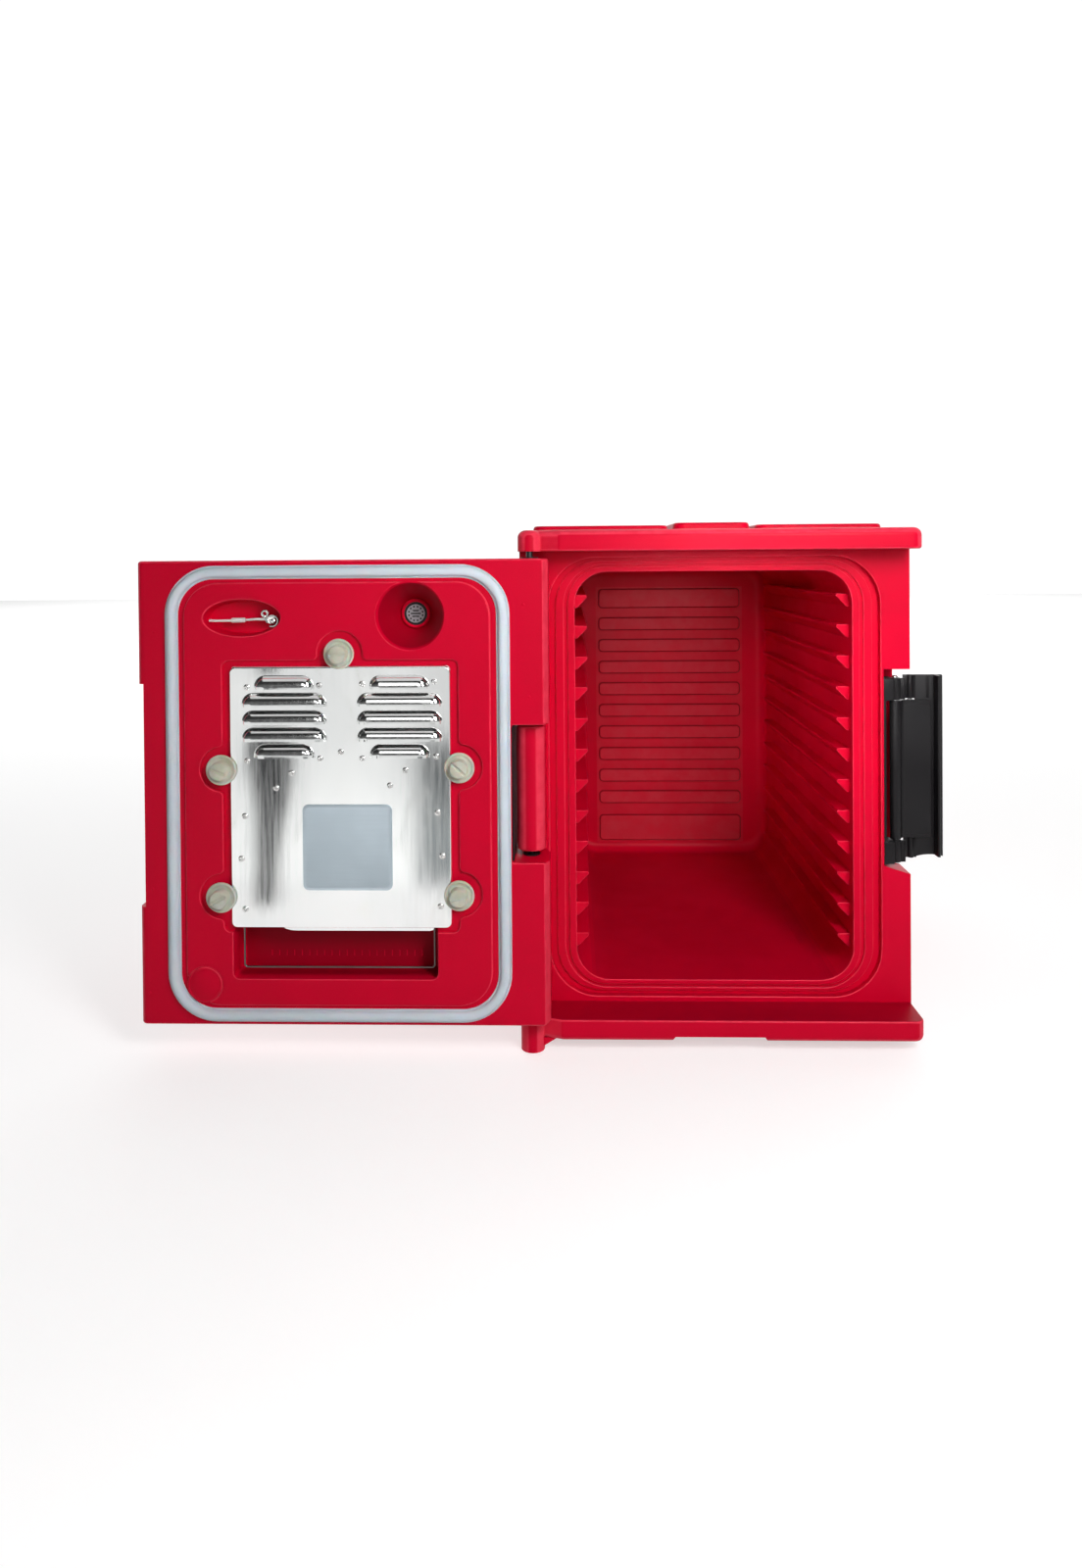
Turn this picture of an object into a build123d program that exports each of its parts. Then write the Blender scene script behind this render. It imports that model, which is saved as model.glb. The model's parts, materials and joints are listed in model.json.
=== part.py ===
from build123d import *
import os
from math import sin, cos, radians

os.makedirs("parts", exist_ok=True)

# ---------------------------------------------------------------- dimensions
# Millimetres. X across the front, Y from the front face to the back, Z up.
# Origin: middle of the front face's foot line, on the floor.
W2 = 235.0            # cabinet half width
Y_BACK = 600.0        # outside of the back wall
Z_BOT, Z_TOP = 15.0, 613.0
LIP_Y = -52.0         # front of the top lip and of the base lip
LIP_Z = 588.0         # underside of the top lip
LEDGE_Z = 40.0        # top of the base lip
WALL = 5.0            # moulded skin

# hinge axis (vertical) and what is round about it
XH, YH = -221.0, -38.0
EAR_R = 14.0
KNUCKLE_R = 17.0
KNUCKLE_Z = (238.0, 384.0)
RELIEF_R = 41.5
ROD_R = 4.0
ROD_FIT = 0.05        # running clearance, radial

# cavity and sealing rim: half width, bottom, top, corner radius
OPEN = (168.0, 63.5, 563.0, 40.0)
BAND2 = (177.0, 57.5, 569.0, 46.0)
GROOVE = (181.5, 54.5, 572.0, 50.0)
BAND1 = (192.0, 50.0, 576.5, 55.0)
RIM = (200.0, 46.0, 580.5, 58.0)
BAND_Y = 6.4          # how deep the two sealing bands lie
CAV_BACK = 545.0
RAIL_TIP = 153.0
RAIL_TOP = 534.0
RAIL_PITCH = 38.1
RAILS = 12
RAIL_Y = (22.0, 484.0)

# latch on the right side
REC_X, REC_Y1, REC_Z = 203.5, 66.0, (199.0, 443.0)
XA, YA = 221.5, 14.0          # pivot in the mount
XC, YC = 243.0, 25.0          # pivot between link and paddle
LATCH_PIN_R = 2.5

# door, drawn open by 180 degrees
D_IN, D_OUT = -75.0, -2.0     # inner and outer face
D_FREE = -674.0               # free edge
D_Z = (43.0, 580.0)
NOTCH_Z = (231.0, 389.0)      # room for the cabinet's knuckle
NOTCH_X = -242.0
LNOTCH_X, LNOTCH_Z = -667.0, (180.0, 438.0)
DCX = 2 * XH                  # the door's middle, mirrored over the axis
GASK = (199.0, 47.5, 574.0, 57.0)
GASK_W = 15.5
PLATEAU = (177.0, 67.0, 554.5, 40.0)
P_IN = -78.5                  # raised inner panel

# heater module
HX = -438.3                   # its middle
PLATE = (-565.0, -311.5, 158.0, 458.0)
PLATE_Y = (-80.0, -78.8)
BOX = (-554.0, -322.5, 164.0, 450.0)
BOX_Y = (-74.5, -29.0)
FLANGE_Y = -74.5               # back of the box's flange
KNOBS = [(-438.0, 472.5), (-574.8, 340.0), (-301.2, 342.0), (-576.2, 193.5), (-302.4, 196.0)]
FAN_Z = 388.0
VENT = (-357.0, 515.5)
OVAL = (-551.0, 514.0)
PLUG = (-597.6, 91.5)


def xz(y):
    """Front-facing sketch plane at depth y; extrude(amount=-d) goes towards +Y."""
    return Plane.XZ.offset(-y)


def mid(a, b):
    return (a + b) / 2.0


def at(shape, axis, value, tol=0.02):
    """Edges of a shape that lie wholly in the plane axis = value."""
    return shape.edges().filter_by_position(axis, value - tol, value + tol)


def inside(edges, x0, x1, y0, y1, z0, z1):
    """Those edges that lie wholly inside a box."""
    def keep(e):
        b = e.bounding_box()
        return (b.min.X >= x0 and b.max.X <= x1 and b.min.Y >= y0 and b.max.Y <= y1
                and b.min.Z >= z0 and b.max.Z <= z1)
    return ShapeList([e for e in edges if keep(e)])


# ---------------------------------------------------------------- cabinet
# plan of the two front lips: a boss round the hinge axis at the left end, a
# slanted run up to the flat front, a rounded corner at the right
with BuildSketch() as lip_plan:
    with BuildLine():
        Polyline((-W2, 30), (-W2, YH), (XH, YH), (-207, -44.5), (-186, LIP_Y), (W2, LIP_Y), (W2, 30), close=True)
    make_face()
    fillet(lip_plan.vertices().sort_by(Axis.X)[-2:].sort_by(Axis.Y)[0], radius=12)
    fillet(lip_plan.vertices().filter_by_position(Axis.X, -187, -185), radius=10)
    fillet(lip_plan.vertices().filter_by_position(Axis.X, -208, -206), radius=8)
    with Locations((XH, YH)):
        Circle(EAR_R)

with BuildPart() as top_lip:
    with BuildSketch(Plane.XY.offset(LIP_Z)):
        add(lip_plan.sketch)
    extrude(amount=Z_TOP - LIP_Z)
    fillet(top_lip.faces().sort_by(Axis.Z)[-1].edges().filter_by_position(Axis.Y, -60, 29, inclusive=(True, False)), radius=9)
    fillet(top_lip.faces().sort_by(Axis.Z)[0].edges().filter_by_position(Axis.Y, -60, 29, inclusive=(True, False)).filter_by_position(Axis.X, -206, 300), radius=3)

with BuildPart() as base_lip:
    with BuildSketch(Plane.XY.offset(Z_BOT)):
        add(lip_plan.sketch)
    extrude(amount=LEDGE_Z - Z_BOT)
    fillet(base_lip.faces().sort_by(Axis.Z)[0].edges().filter_by_position(Axis.Y, -60, 29, inclusive=(True, False)).filter_by_position(Axis.X, 0, 300), radius=7)
    fillet(base_lip.faces().sort_by(Axis.Z)[-1].edges().filter_by_position(Axis.Y, -60, 29, inclusive=(True, False)).filter_by_position(Axis.X, -206, 300), radius=2.5)

with BuildPart() as cavity:
    with BuildSketch(xz(-2)):
        with Locations((0, mid(OPEN[1], OPEN[2]))):
            RectangleRounded(2 * OPEN[0], OPEN[2] - OPEN[1], OPEN[3])
    extrude(amount=-(CAV_BACK + 2))
    fillet(cavity.faces().sort_by(Axis.Y)[-1].edges(), radius=18)

with BuildPart() as cabinet_foam:
    with BuildSketch(Plane.XY.offset(Z_BOT + WALL + 4)):
        with Locations((0, mid(14, Y_BACK - WALL))):
            Rectangle(2 * (W2 - WALL), Y_BACK - WALL - 14)
        fillet(vertices().filter_by_position(Axis.Y, 300, 700), radius=26)
    extrude(amount=Z_TOP - Z_BOT - 2 * WALL - 4)
    with BuildSketch(xz(0)):
        with Locations((0, mid(OPEN[1], OPEN[2]))):
            RectangleRounded(2 * (OPEN[0] + WALL), OPEN[2] - OPEN[1] + 2 * WALL, OPEN[3] + WALL)
    extrude(amount=-(CAV_BACK + WALL), mode=Mode.SUBTRACT)
    # room for the skin of the latch recess and of the hand grips
    with BuildSketch(Plane.XY.offset(REC_Z[0] - WALL)):
        with Locations((mid(REC_X - WALL, W2), mid(0, REC_Y1 + WALL))):
            Rectangle(W2 - REC_X + WALL, REC_Y1 + WALL)
    extrude(amount=REC_Z[1] - REC_Z[0] + 2 * WALL, mode=Mode.SUBTRACT)
    for s in (-1, 1):
        with BuildSketch(Plane.XY.offset(465 - WALL)):
            with Locations((s * mid(205 - WALL, W2), 300)):
                Rectangle(W2 - 205 + WALL, 150 + 2 * WALL)
        extrude(amount=70 + 2 * WALL, mode=Mode.SUBTRACT)
cabinet_foam.part.label = "cabinet_foam"

with BuildPart() as hand_grip:
    # pocket in the right side; the left one is its mirror image
    with BuildSketch(Plane.YZ.offset(205)):
        with Locations((300, 500)):
            RectangleRounded(150, 70, 22)
    extrude(amount=40)
    fillet(hand_grip.faces().sort_by(Axis.X)[0].edges(), radius=12)

with BuildPart() as knuckle:
    with BuildSketch(Plane.XY.offset(KNUCKLE_Z[0])):
        with Locations((XH, YH)):
            Circle(KNUCKLE_R)
        with BuildLine():
            Polyline((XH - 14, YH), (XH + 16, YH), (XH + 17, -8), (XH + 17.4, 6), (XH - 14, 6), close=True)
        make_face()
    extrude(amount=KNUCKLE_Z[1] - KNUCKLE_Z[0])
    fillet(knuckle.faces().filter_by(Axis.Z).edges().filter_by_position(Axis.Y, -80, 0), radius=2.5)

with BuildPart() as rail:
    # right-hand rail, top at Z 0: flat top, 45 degree underside
    with BuildSketch(xz(RAIL_Y[0])) as rs:
        with BuildLine():
            Polyline((171, 0), (RAIL_TIP, 0), (RAIL_TIP, -3.4), (165.4, -16), (171, -16), close=True)
        make_face()
        fillet(rs.vertices().filter_by_position(Axis.X, RAIL_TIP - 1, RAIL_TIP + 1), radius=1.3)
    extrude(amount=-(RAIL_Y[1] - RAIL_Y[0]))
    fillet(rail.faces().filter_by(Axis.Y).edges().filter_by_position(Axis.X, 150, 170.5), radius=1.1)

# stacking pads and the ridge between them
pads = []
for x0, x1, dz in ((-220, -50, 7), (56, 214, 7), (-46, 52, 10)):
    with BuildPart() as pad:
        with BuildSketch(Plane.XY.offset(Z_TOP - 1)):
            with Locations((mid(x0, x1), 298)):
                RectangleRounded(x1 - x0, 540, 14)
        extrude(amount=dz + 1, taper=14)
        fillet(pad.faces().sort_by(Axis.Z)[-1].edges(), radius=3)
    pads.append(pad.part)

# raised bars of the back wall
bars = []
for z0, z1 in [(491.0, 526.5)] + [(476.5 - RAIL_PITCH * k - 24.5, 476.5 - RAIL_PITCH * k) for k in range(9)] + [(82.0, 129.0)]:
    with BuildPart() as bar:
        with BuildSketch(xz(CAV_BACK + 1)):
            with Locations((0, mid(z0, z1))):
                RectangleRounded(249, z1 - z0, 8)
        extrude(amount=4, taper=30)
        fillet(bar.faces().sort_by(Axis.Y)[0].edges(), radius=1.4)
    bars.append(bar.part)

with BuildPart() as cabinet_shell:
    with BuildSketch(Plane.XY.offset(Z_BOT)):
        with Locations((0, Y_BACK / 2)):
            Rectangle(2 * W2, Y_BACK)
        fillet(vertices().filter_by_position(Axis.Y, 300, 700), radius=30)
    extrude(amount=Z_TOP - Z_BOT)
    fillet(cabinet_shell.faces().sort_by(Axis.Z)[-1].edges().filter_by_position(Axis.Y, 1, 700), radius=9)
    fillet(cabinet_shell.faces().sort_by(Axis.Z)[0].edges().filter_by_position(Axis.Y, 1, 700), radius=7)
    # shallow round relief behind the door's hinge bands
    with BuildSketch(Plane.XY.offset(LEDGE_Z)):
        with Locations((XH, YH)):
            Circle(RELIEF_R)
    extrude(amount=LIP_Z - LEDGE_Z, mode=Mode.SUBTRACT)
    add(top_lip.part)
    add(base_lip.part)
    # lower ear: its boss comes down to the floor line, a slope runs up to the base
    with BuildSketch(Plane.XY.offset(1)):
        with Locations((XH, YH)):
            Circle(EAR_R)
    extrude(amount=30)
    with BuildSketch(xz(-44)):
        with BuildLine():
            Polyline((XH, 3), (XH + 8, 3), (-192, Z_BOT + 1), (XH, Z_BOT + 1), close=True)
        make_face()
    extrude(amount=-44)
    # centre knuckle
    add(knuckle.part)
    # notch under the middle of the base lip
    with BuildSketch(xz(-60)):
        with Locations((-2.5, Z_BOT)):
            Trapezoid(118, 12, 60)
    extrude(amount=-52, mode=Mode.SUBTRACT)
    # moulded skids across the bottom
    with BuildSketch(Plane.XY):
        with Locations((0, 39), (0, 540)):
            RectangleRounded(400, 80, 14)
    extrude(amount=Z_BOT + 1)
    # stacking pads and the ridge between them
    for pad_part in pads:
        add(pad_part)
    # sealing rim
    with BuildSketch(xz(-1)):
        with Locations((0, mid(RIM[1], RIM[2]))):
            RectangleRounded(2 * RIM[0], RIM[2] - RIM[1], RIM[3])
    extrude(amount=-(BAND_Y + 1), mode=Mode.SUBTRACT)
    for outer, inner, y1 in ((RIM, BAND1, 9.0), (GROOVE, BAND2, 9.5)):
        with BuildSketch(xz(BAND_Y - 1)):
            with Locations((0, mid(outer[1], outer[2]))):
                RectangleRounded(2 * outer[0], outer[2] - outer[1], outer[3])
            with Locations((0, mid(inner[1], inner[2]))):
                RectangleRounded(2 * inner[0], inner[2] - inner[1], inner[3], mode=Mode.SUBTRACT)
        extrude(amount=-(y1 - BAND_Y + 1), mode=Mode.SUBTRACT)
    add(cavity.part, mode=Mode.SUBTRACT)
    # soft moulded edges of the bands and of the mouth
    BOX_IN = (-201.5, 201.5, -1, 12, 44, 583)
    for y, r in ((0.0, 1.6), (BAND_Y, 1.4)):
        fillet(inside(at(cabinet_shell, Axis.Y, y), *BOX_IN), radius=r)
    # pan rails
    left_rail = mirror(rail.part, about=Plane.YZ, mode=Mode.PRIVATE)
    with Locations(*[(0, 0, RAIL_TOP - i * RAIL_PITCH) for i in range(RAILS)]):
        add(rail.part)
        add(left_rail)
    # raised bars on the back wall
    for bar_part in bars:
        add(bar_part)
    # latch recess, open to the front and to the side
    with BuildSketch(xz(-1)):
        with BuildLine():
            Polyline((REC_X, REC_Z[0] + 6), (W2 + 1, REC_Z[0] - 4), (W2 + 1, REC_Z[1]), (REC_X, REC_Z[1]), close=True)
        make_face()
    extrude(amount=-(REC_Y1 + 1), mode=Mode.SUBTRACT)
    # hand grips
    add(hand_grip.part, mode=Mode.SUBTRACT)
    add(mirror(hand_grip.part, about=Plane.YZ, mode=Mode.PRIVATE), mode=Mode.SUBTRACT)
    # plug holes in the back, where the foam goes in
    with BuildSketch(xz(Y_BACK + 1)):
        with Locations((-120, 120), (120, 500)):
            Circle(20)
    extrude(amount=4, mode=Mode.SUBTRACT)
    # hinge rod hole: blind in the top ear, cap seat at the bottom
    with BuildSketch(Plane.XY.offset(0)):
        with Locations((XH, YH)):
            Circle(ROD_R)
    extrude(amount=606, mode=Mode.SUBTRACT)
    with BuildSketch(Plane.XY.offset(0)):
        with Locations((XH, YH)):
            Circle(6.5)
    extrude(amount=6, mode=Mode.SUBTRACT)
    add(cabinet_foam.part, mode=Mode.SUBTRACT)
cabinet_shell.part.label = "cabinet_shell"

with BuildPart() as cabinet_plugs:
    with BuildSketch(xz(Y_BACK)):
        with Locations((-120, 120), (120, 500)):
            Circle(20)
    extrude(amount=3)
    chamfer(cabinet_plugs.faces().group_by(Axis.Y)[-1].edges(), length=1)
cabinet_plugs.part.label = "cabinet_plugs"

with BuildPart() as hinge_rod:
    with BuildSketch(Plane.XY.offset(6)):
        with Locations((XH, YH)):
            Circle(ROD_R)
    extrude(amount=600)
hinge_rod.part.label = "hinge_rod"

with BuildPart() as hinge_rod_cap:
    with BuildSketch(Plane.XY.offset(1.2)):
        with Locations((XH, YH)):
            Circle(6.5)
    extrude(amount=4.8)
    chamfer(hinge_rod_cap.faces().sort_by(Axis.Z)[0].edges(), length=1)
hinge_rod_cap.part.label = "hinge_rod_cap"

# ---------------------------------------------------------------- latch
MX = REC_X + 4.0      # front of the mount's back plate
with BuildPart() as latch_mount:
    with BuildSketch(Plane.XY.offset(207)):
        with Locations((mid(REC_X, MX), mid(2, 62))):
            Rectangle(MX - REC_X, 60)
    extrude(amount=226)
    for z0 in (206.5, 404.5):
        with BuildSketch(Plane.XY.offset(z0)):
            with Locations((mid(REC_X, XA - 2), 14)):
                Rectangle(XA - 2 - REC_X, 24)
            with Locations((XA, YA)):
                Circle(6.8)
            with Locations((XA - 6, YA)):
                Rectangle(12, 13.6)
            # stop rib in front of the barrel
            with Locations((228.3, 12)):
                Rectangle(6.0, 3.0)
            with Locations((231.2, 12)):
                Circle(2.1)
        extrude(amount=27)
    # pin holes
    with BuildSketch(Plane.XY.offset(200)):
        with Locations((XA, YA)):
            Circle(LATCH_PIN_R)
    extrude(amount=240, mode=Mode.SUBTRACT)
    # screw holes through the back plate
    with BuildSketch(Plane.YZ.offset(REC_X - 1)):
        with Locations((46, 245), (46, 320), (46, 395)):
            Circle(2.5)
    extrude(amount=8, mode=Mode.SUBTRACT)
latch_mount.part.label = "latch_mount"

with BuildPart() as latch_mount_screws:
    with BuildSketch(Plane.YZ.offset(MX)):
        with Locations((46, 245), (46, 320), (46, 395)):
            Circle(4.6)
    extrude(amount=2.6)
    fillet(latch_mount_screws.faces().group_by(Axis.X)[-1].edges(), radius=1.6)
    with BuildSketch(Plane.YZ.offset(REC_X)):
        with Locations((46, 245), (46, 320), (46, 395)):
            Circle(2.5)
    extrude(amount=MX - REC_X + 0.5)
    with BuildSketch(Plane.YZ.offset(MX + 1.6)):
        with Locations((46, 245), (46, 320), (46, 395)):
            Rectangle(5.4, 1.1)
            Rectangle(1.1, 5.4)
    extrude(amount=2, mode=Mode.SUBTRACT)
latch_mount_screws.part.label = "latch_mount_screws"

with BuildPart() as latch_pin:
    with BuildSketch(Plane.XY.offset(205)):
        with Locations((XA, YA)):
            Circle(LATCH_PIN_R)
    extrude(amount=228)
    for z in (203.5, 432.5):
        with BuildSketch(Plane.XY.offset(z)):
            with Locations((XA, YA)):
                Circle(3.6)
        extrude(amount=2)
latch_pin.part.label = "latch_pin"

# link: barrel on the mount's pin, panel that carries the paddle's pivot
LINK_Z = (233.5 + 1.0, 404.5 - 1.0)
with BuildPart() as latch_link:
    with BuildSketch(Plane.XY.offset(LINK_Z[0])):
        with Locations((XA, YA)):
            Circle(6.5)
        with BuildLine():
            Polyline((XA + 1, YA + 4.3), (XA + 3, YA + 6.4), (XA + 6, 20.6), (266.0, 20.6), (267.0, 19.6), (267.0, 18.2), (XA + 5, 18.2), close=True)
        make_face()
        with Locations((XC, YC)):
            Circle(4.2)
        with Locations((XC, 21.5)):
            Rectangle(8.4, 4)
    extrude(amount=LINK_Z[1] - LINK_Z[0])
    with BuildSketch(Plane.XY.offset(LINK_Z[0] - 1)):
        with Locations((XA, YA)):
            Circle(LATCH_PIN_R + ROD_FIT)
        with Locations((XC, YC)):
            Circle(2.0)
    extrude(amount=LINK_Z[1] - LINK_Z[0] + 2, mode=Mode.SUBTRACT)
latch_link.part.label = "latch_link"

with BuildPart() as paddle_pin:
    with BuildSketch(Plane.XY.offset(214)):
        with Locations((XC, YC)):
            Circle(2.0)
    extrude(amount=216)
paddle_pin.part.label = "paddle_pin"

PAD_Z = (208.5, 434.0)
with BuildPart() as latch_paddle:
    # plate behind the link's panel, with the hooked lip at its free edge
    with BuildSketch(Plane.XY.offset(PAD_Z[0])):
        with BuildLine():
            Polyline((249, 23.4), (271.8, 23.4), (272.2, 13.0), (273.2, 11.2), (275.0, 11.2), (276.2, 13.4), (276.4, 22.6), (277.2, 23.4), (281.9, 23.4), (282.6, 24.1), (282.6, 26.5), (281.9, 27.2), (249, 27.2), close=True)
        make_face()
    extrude(amount=PAD_Z[1] - PAD_Z[0])
    # end pieces with the knuckles
    for z0 in (PAD_Z[0], LINK_Z[1] + 1.0):
        with BuildSketch(Plane.XY.offset(z0)):
            with BuildLine():
                Polyline((233.5, 23.4), (250, 23.4), (250, 27.2), (234.5, 27.2), close=True)
            make_face()
            with Locations((XC, YC)):
                Circle(4.2)
        extrude(amount=(LINK_Z[0] - 1.0 - PAD_Z[0]) if z0 == PAD_Z[0] else (PAD_Z[1] - z0))
    with BuildSketch(Plane.XY.offset(213)):
        with Locations((XC, YC)):
            Circle(2.0 + ROD_FIT)
    extrude(amount=218, mode=Mode.SUBTRACT)
    # scooped lower edge
    with BuildSketch(xz(0)):
        with Locations((266, 152)):
            Circle(60)
    extrude(amount=-40, mode=Mode.SUBTRACT)
latch_paddle.part.label = "latch_paddle"

# ---------------------------------------------------------------- door
with BuildPart() as door_plan:
    with BuildSketch(Plane.XY.offset(D_Z[0])) as dp:
        with BuildLine():
            Polyline((D_FREE, D_IN), (XH + 16, D_IN), (XH + 22, -62), (XH + 22, -26), (XH + 12, -5), (XH + 8, D_OUT), (D_FREE, D_OUT), close=True)
        make_face()
        fillet(dp.vertices().filter_by_position(Axis.X, D_FREE - 1, D_FREE + 1), radius=7)
        fillet(dp.vertices().filter_by_position(Axis.X, XH + 15, XH + 17), radius=2.5)
        fillet(dp.vertices().filter_by_position(Axis.X, XH + 21, XH + 23), radius=5)
        fillet(dp.vertices().filter_by_position(Axis.X, XH + 7, XH + 9), radius=2)
    extrude(amount=D_Z[1] - D_Z[0])
    fillet(door_plan.faces().filter_by(Axis.Z).edges(), radius=3.5)

with BuildPart() as vent_cone:
    with BuildSketch(xz(P_IN - 0.5)):
        with Locations(VENT):
            Circle(39.6)
    with BuildSketch(xz(-30)):
        with Locations(VENT):
            Circle(18)
    loft()

with BuildPart() as oval_pocket:
    with BuildSketch(xz(P_IN - 0.5)):
        with Locations(OVAL):
            Ellipse(45, 21.5)
    with BuildSketch(xz(-58)):
        with Locations(OVAL):
            Ellipse(42, 18.5)
    loft()

POCKET_Y = -74.5
with BuildPart() as module_pocket:
    # shallow step round the plate, with a bulge at each nylon screw that
    # runs into the step's outline in a curve
    with BuildSketch(xz(P_IN - 0.5)) as step_outline:
        with Locations((HX, mid(152, 465))):
            RectangleRounded(272, 313, 8)
        with Locations(*KNOBS):
            Circle(26)
        corners = [v for v in step_outline.vertices()
                   if any(abs(((v.X - a) ** 2 + (v.Y - b) ** 2) ** 0.5 - 26) < 0.02 for a, b in KNOBS)]
        fillet(corners, radius=6)
    extrude(amount=-(POCKET_Y - P_IN + 0.5))
    # deep pocket for the heater box
    with BuildSketch(xz(POCKET_Y - 0.5)):
        with Locations((mid(BOX[0], BOX[1]), mid(BOX[2], BOX[3]))):
            RectangleRounded(BOX[1] - BOX[0] + 2, BOX[3] - BOX[2] + 2, 6)
    extrude(amount=-(-28.5 - POCKET_Y + 0.5))
    # air well under the plate
    with BuildSketch(xz(P_IN - 0.5)):
        with Locations((-446.0, mid(98, 170))):
            RectangleRounded(236, 72, 7)
    extrude(amount=-(-40 - P_IN + 0.5))

CTRL = (-523.0, -353.0, 232.0, 352.0)
with BuildPart() as outer_cuts:
    # shallow outer panel, control recess, window to the heater box
    with BuildSketch(xz(1)):
        with Locations((DCX, mid(80, 560))):
            RectangleRounded(360, 470, 30)
    extrude(amount=6)
    with BuildSketch(xz(-4)):
        with Locations((mid(CTRL[0], CTRL[1]), mid(CTRL[2], CTRL[3]))):
            RectangleRounded(CTRL[1] - CTRL[0] + 1, CTRL[3] - CTRL[2] + 1, 10)
    extrude(amount=10)
    with BuildSketch(xz(-13)):
        with Locations((mid(CTRL[0], CTRL[1]), mid(CTRL[2], CTRL[3]))):
            RectangleRounded(CTRL[1] - CTRL[0] - 24, CTRL[3] - CTRL[2] - 24, 6)
    extrude(amount=17)
    # dial thermometer seat and its stem hole
    with BuildSketch(xz(-4)):
        with Locations(OVAL):
            Circle(32.5)
    extrude(amount=24)
    with BuildSketch(xz(-20)):
        with Locations((OVAL[0] + 20, OVAL[1])):
            Circle(2.5)
    extrude(amount=40)
    # vent cap seat and the vent's way through
    with BuildSketch(xz(-4)):
        with Locations(VENT):
            Circle(27)
    extrude(amount=8)
    with BuildSketch(xz(-11)):
        with Locations(VENT):
            Circle(12)
    extrude(amount=20)

with BuildPart() as door_foam:
    with BuildSketch(Plane.XY.offset(D_Z[0] + WALL)):
        with Locations((mid(-655, -250), mid(D_IN + 10, -11))):
            Rectangle(405, -11 - (D_IN + 10))
    extrude(amount=D_Z[1] - D_Z[0] - 2 * WALL)
    # clear of every pocket by the skin's thickness
    with BuildSketch(xz(-70)):
        with Locations((mid(BOX[0], BOX[1]), mid(BOX[2], BOX[3]))):
            Rectangle(BOX[1] - BOX[0] + 12, BOX[3] - BOX[2] + 12)
        with Locations((-446.0, mid(98, 170))):
            Rectangle(246, 82)
        with Locations((OVAL[0], OVAL[1])):
            Rectangle(100, 53)
        with Locations(OVAL):
            Circle(37.5)
        with Locations(VENT):
            Circle(45)
    extrude(amount=-64, mode=Mode.SUBTRACT)
door_foam.part.label = "door_foam"

with BuildPart() as door_shell:
    add(door_plan.part)
    # knuckle notch and latch notch
    with BuildSketch(xz(-100)):
        with Locations((mid(NOTCH_X, -190), mid(NOTCH_Z[0], NOTCH_Z[1]))):
            Rectangle(-190 - NOTCH_X, NOTCH_Z[1] - NOTCH_Z[0])
        with Locations((mid(-690, LNOTCH_X), mid(LNOTCH_Z[0], LNOTCH_Z[1]))):
            Rectangle(LNOTCH_X + 690, LNOTCH_Z[1] - LNOTCH_Z[0])
    extrude(amount=-120, mode=Mode.SUBTRACT)
    for z in NOTCH_Z:
        fillet(inside(at(door_shell, Axis.Z, z), -260, -190, -80, 0, 200, 420), radius=2)
    # raised inner panel
    with BuildSketch(xz(D_IN + 1)):
        with Locations((DCX, mid(PLATEAU[1], PLATEAU[2]))):
            RectangleRounded(2 * PLATEAU[0], PLATEAU[2] - PLATEAU[1], PLATEAU[3])
    extrude(amount=D_IN + 1 - P_IN)
    fillet(door_shell.faces().sort_by(Axis.Y)[0].edges(), radius=2.4)
    # gasket channel
    with BuildSketch(xz(D_IN - 1)):
        with Locations((DCX, mid(GASK[1], GASK[2]))):
            RectangleRounded(2 * GASK[0], GASK[2] - GASK[1], GASK[3])
            RectangleRounded(2 * (GASK[0] - GASK_W), GASK[2] - GASK[1] - 2 * GASK_W, GASK[3] - GASK_W, mode=Mode.SUBTRACT)
    extrude(amount=-5.0, mode=Mode.SUBTRACT)
    # seat of the latch keeper
    with BuildSketch(Plane.XY.offset(205)):
        with Locations((mid(-680, -656), mid(-45, -30))):
            Rectangle(24, 15)
    extrude(amount=233, mode=Mode.SUBTRACT)
    add(vent_cone.part, mode=Mode.SUBTRACT)
    add(oval_pocket.part, mode=Mode.SUBTRACT)
    add(module_pocket.part, mode=Mode.SUBTRACT)
    add(outer_cuts.part, mode=Mode.SUBTRACT)
    # fill plug seat
    with BuildSketch(xz(P_IN - 1)):
        with Locations(PLUG):
            Circle(20.5)
    extrude(amount=-5, mode=Mode.SUBTRACT)
    # soft mouths of the recesses
    mouths = ((VENT[0], VENT[1], 41, 41, 1.6), (OVAL[0], OVAL[1], 46, 23, 1.8), (HX, 283, 180, 220, 1.4))
    for cx, cz, hx, hz, r in mouths:
        fillet(inside(at(door_shell, Axis.Y, P_IN), cx - hx, cx + hx, -90, -60, cz - hz, cz + hz), radius=r)
    # bores of the hinge bands
    with BuildSketch(Plane.XY.offset(30)):
        with Locations((XH, YH)):
            Circle(7)
    extrude(amount=560, mode=Mode.SUBTRACT)
    # threaded seats of the nylon screws
    with BuildSketch(xz(POCKET_Y - 1)):
        with Locations(*KNOBS):
            Circle(5)
    extrude(amount=-7, mode=Mode.SUBTRACT)
    add(door_foam.part, mode=Mode.SUBTRACT)
door_shell.part.label = "door_shell"

with BuildPart() as door_gasket:
    with BuildSketch(xz(D_IN + 4)):
        with Locations((DCX, mid(GASK[1], GASK[2]))):
            RectangleRounded(2 * GASK[0], GASK[2] - GASK[1], GASK[3])
            RectangleRounded(2 * (GASK[0] - GASK_W), GASK[2] - GASK[1] - 2 * GASK_W, GASK[3] - GASK_W, mode=Mode.SUBTRACT)
    extrude(amount=11)
    fillet(door_gasket.faces().sort_by(Axis.Y)[0].edges(), radius=5)
door_gasket.part.label = "door_gasket"

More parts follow.
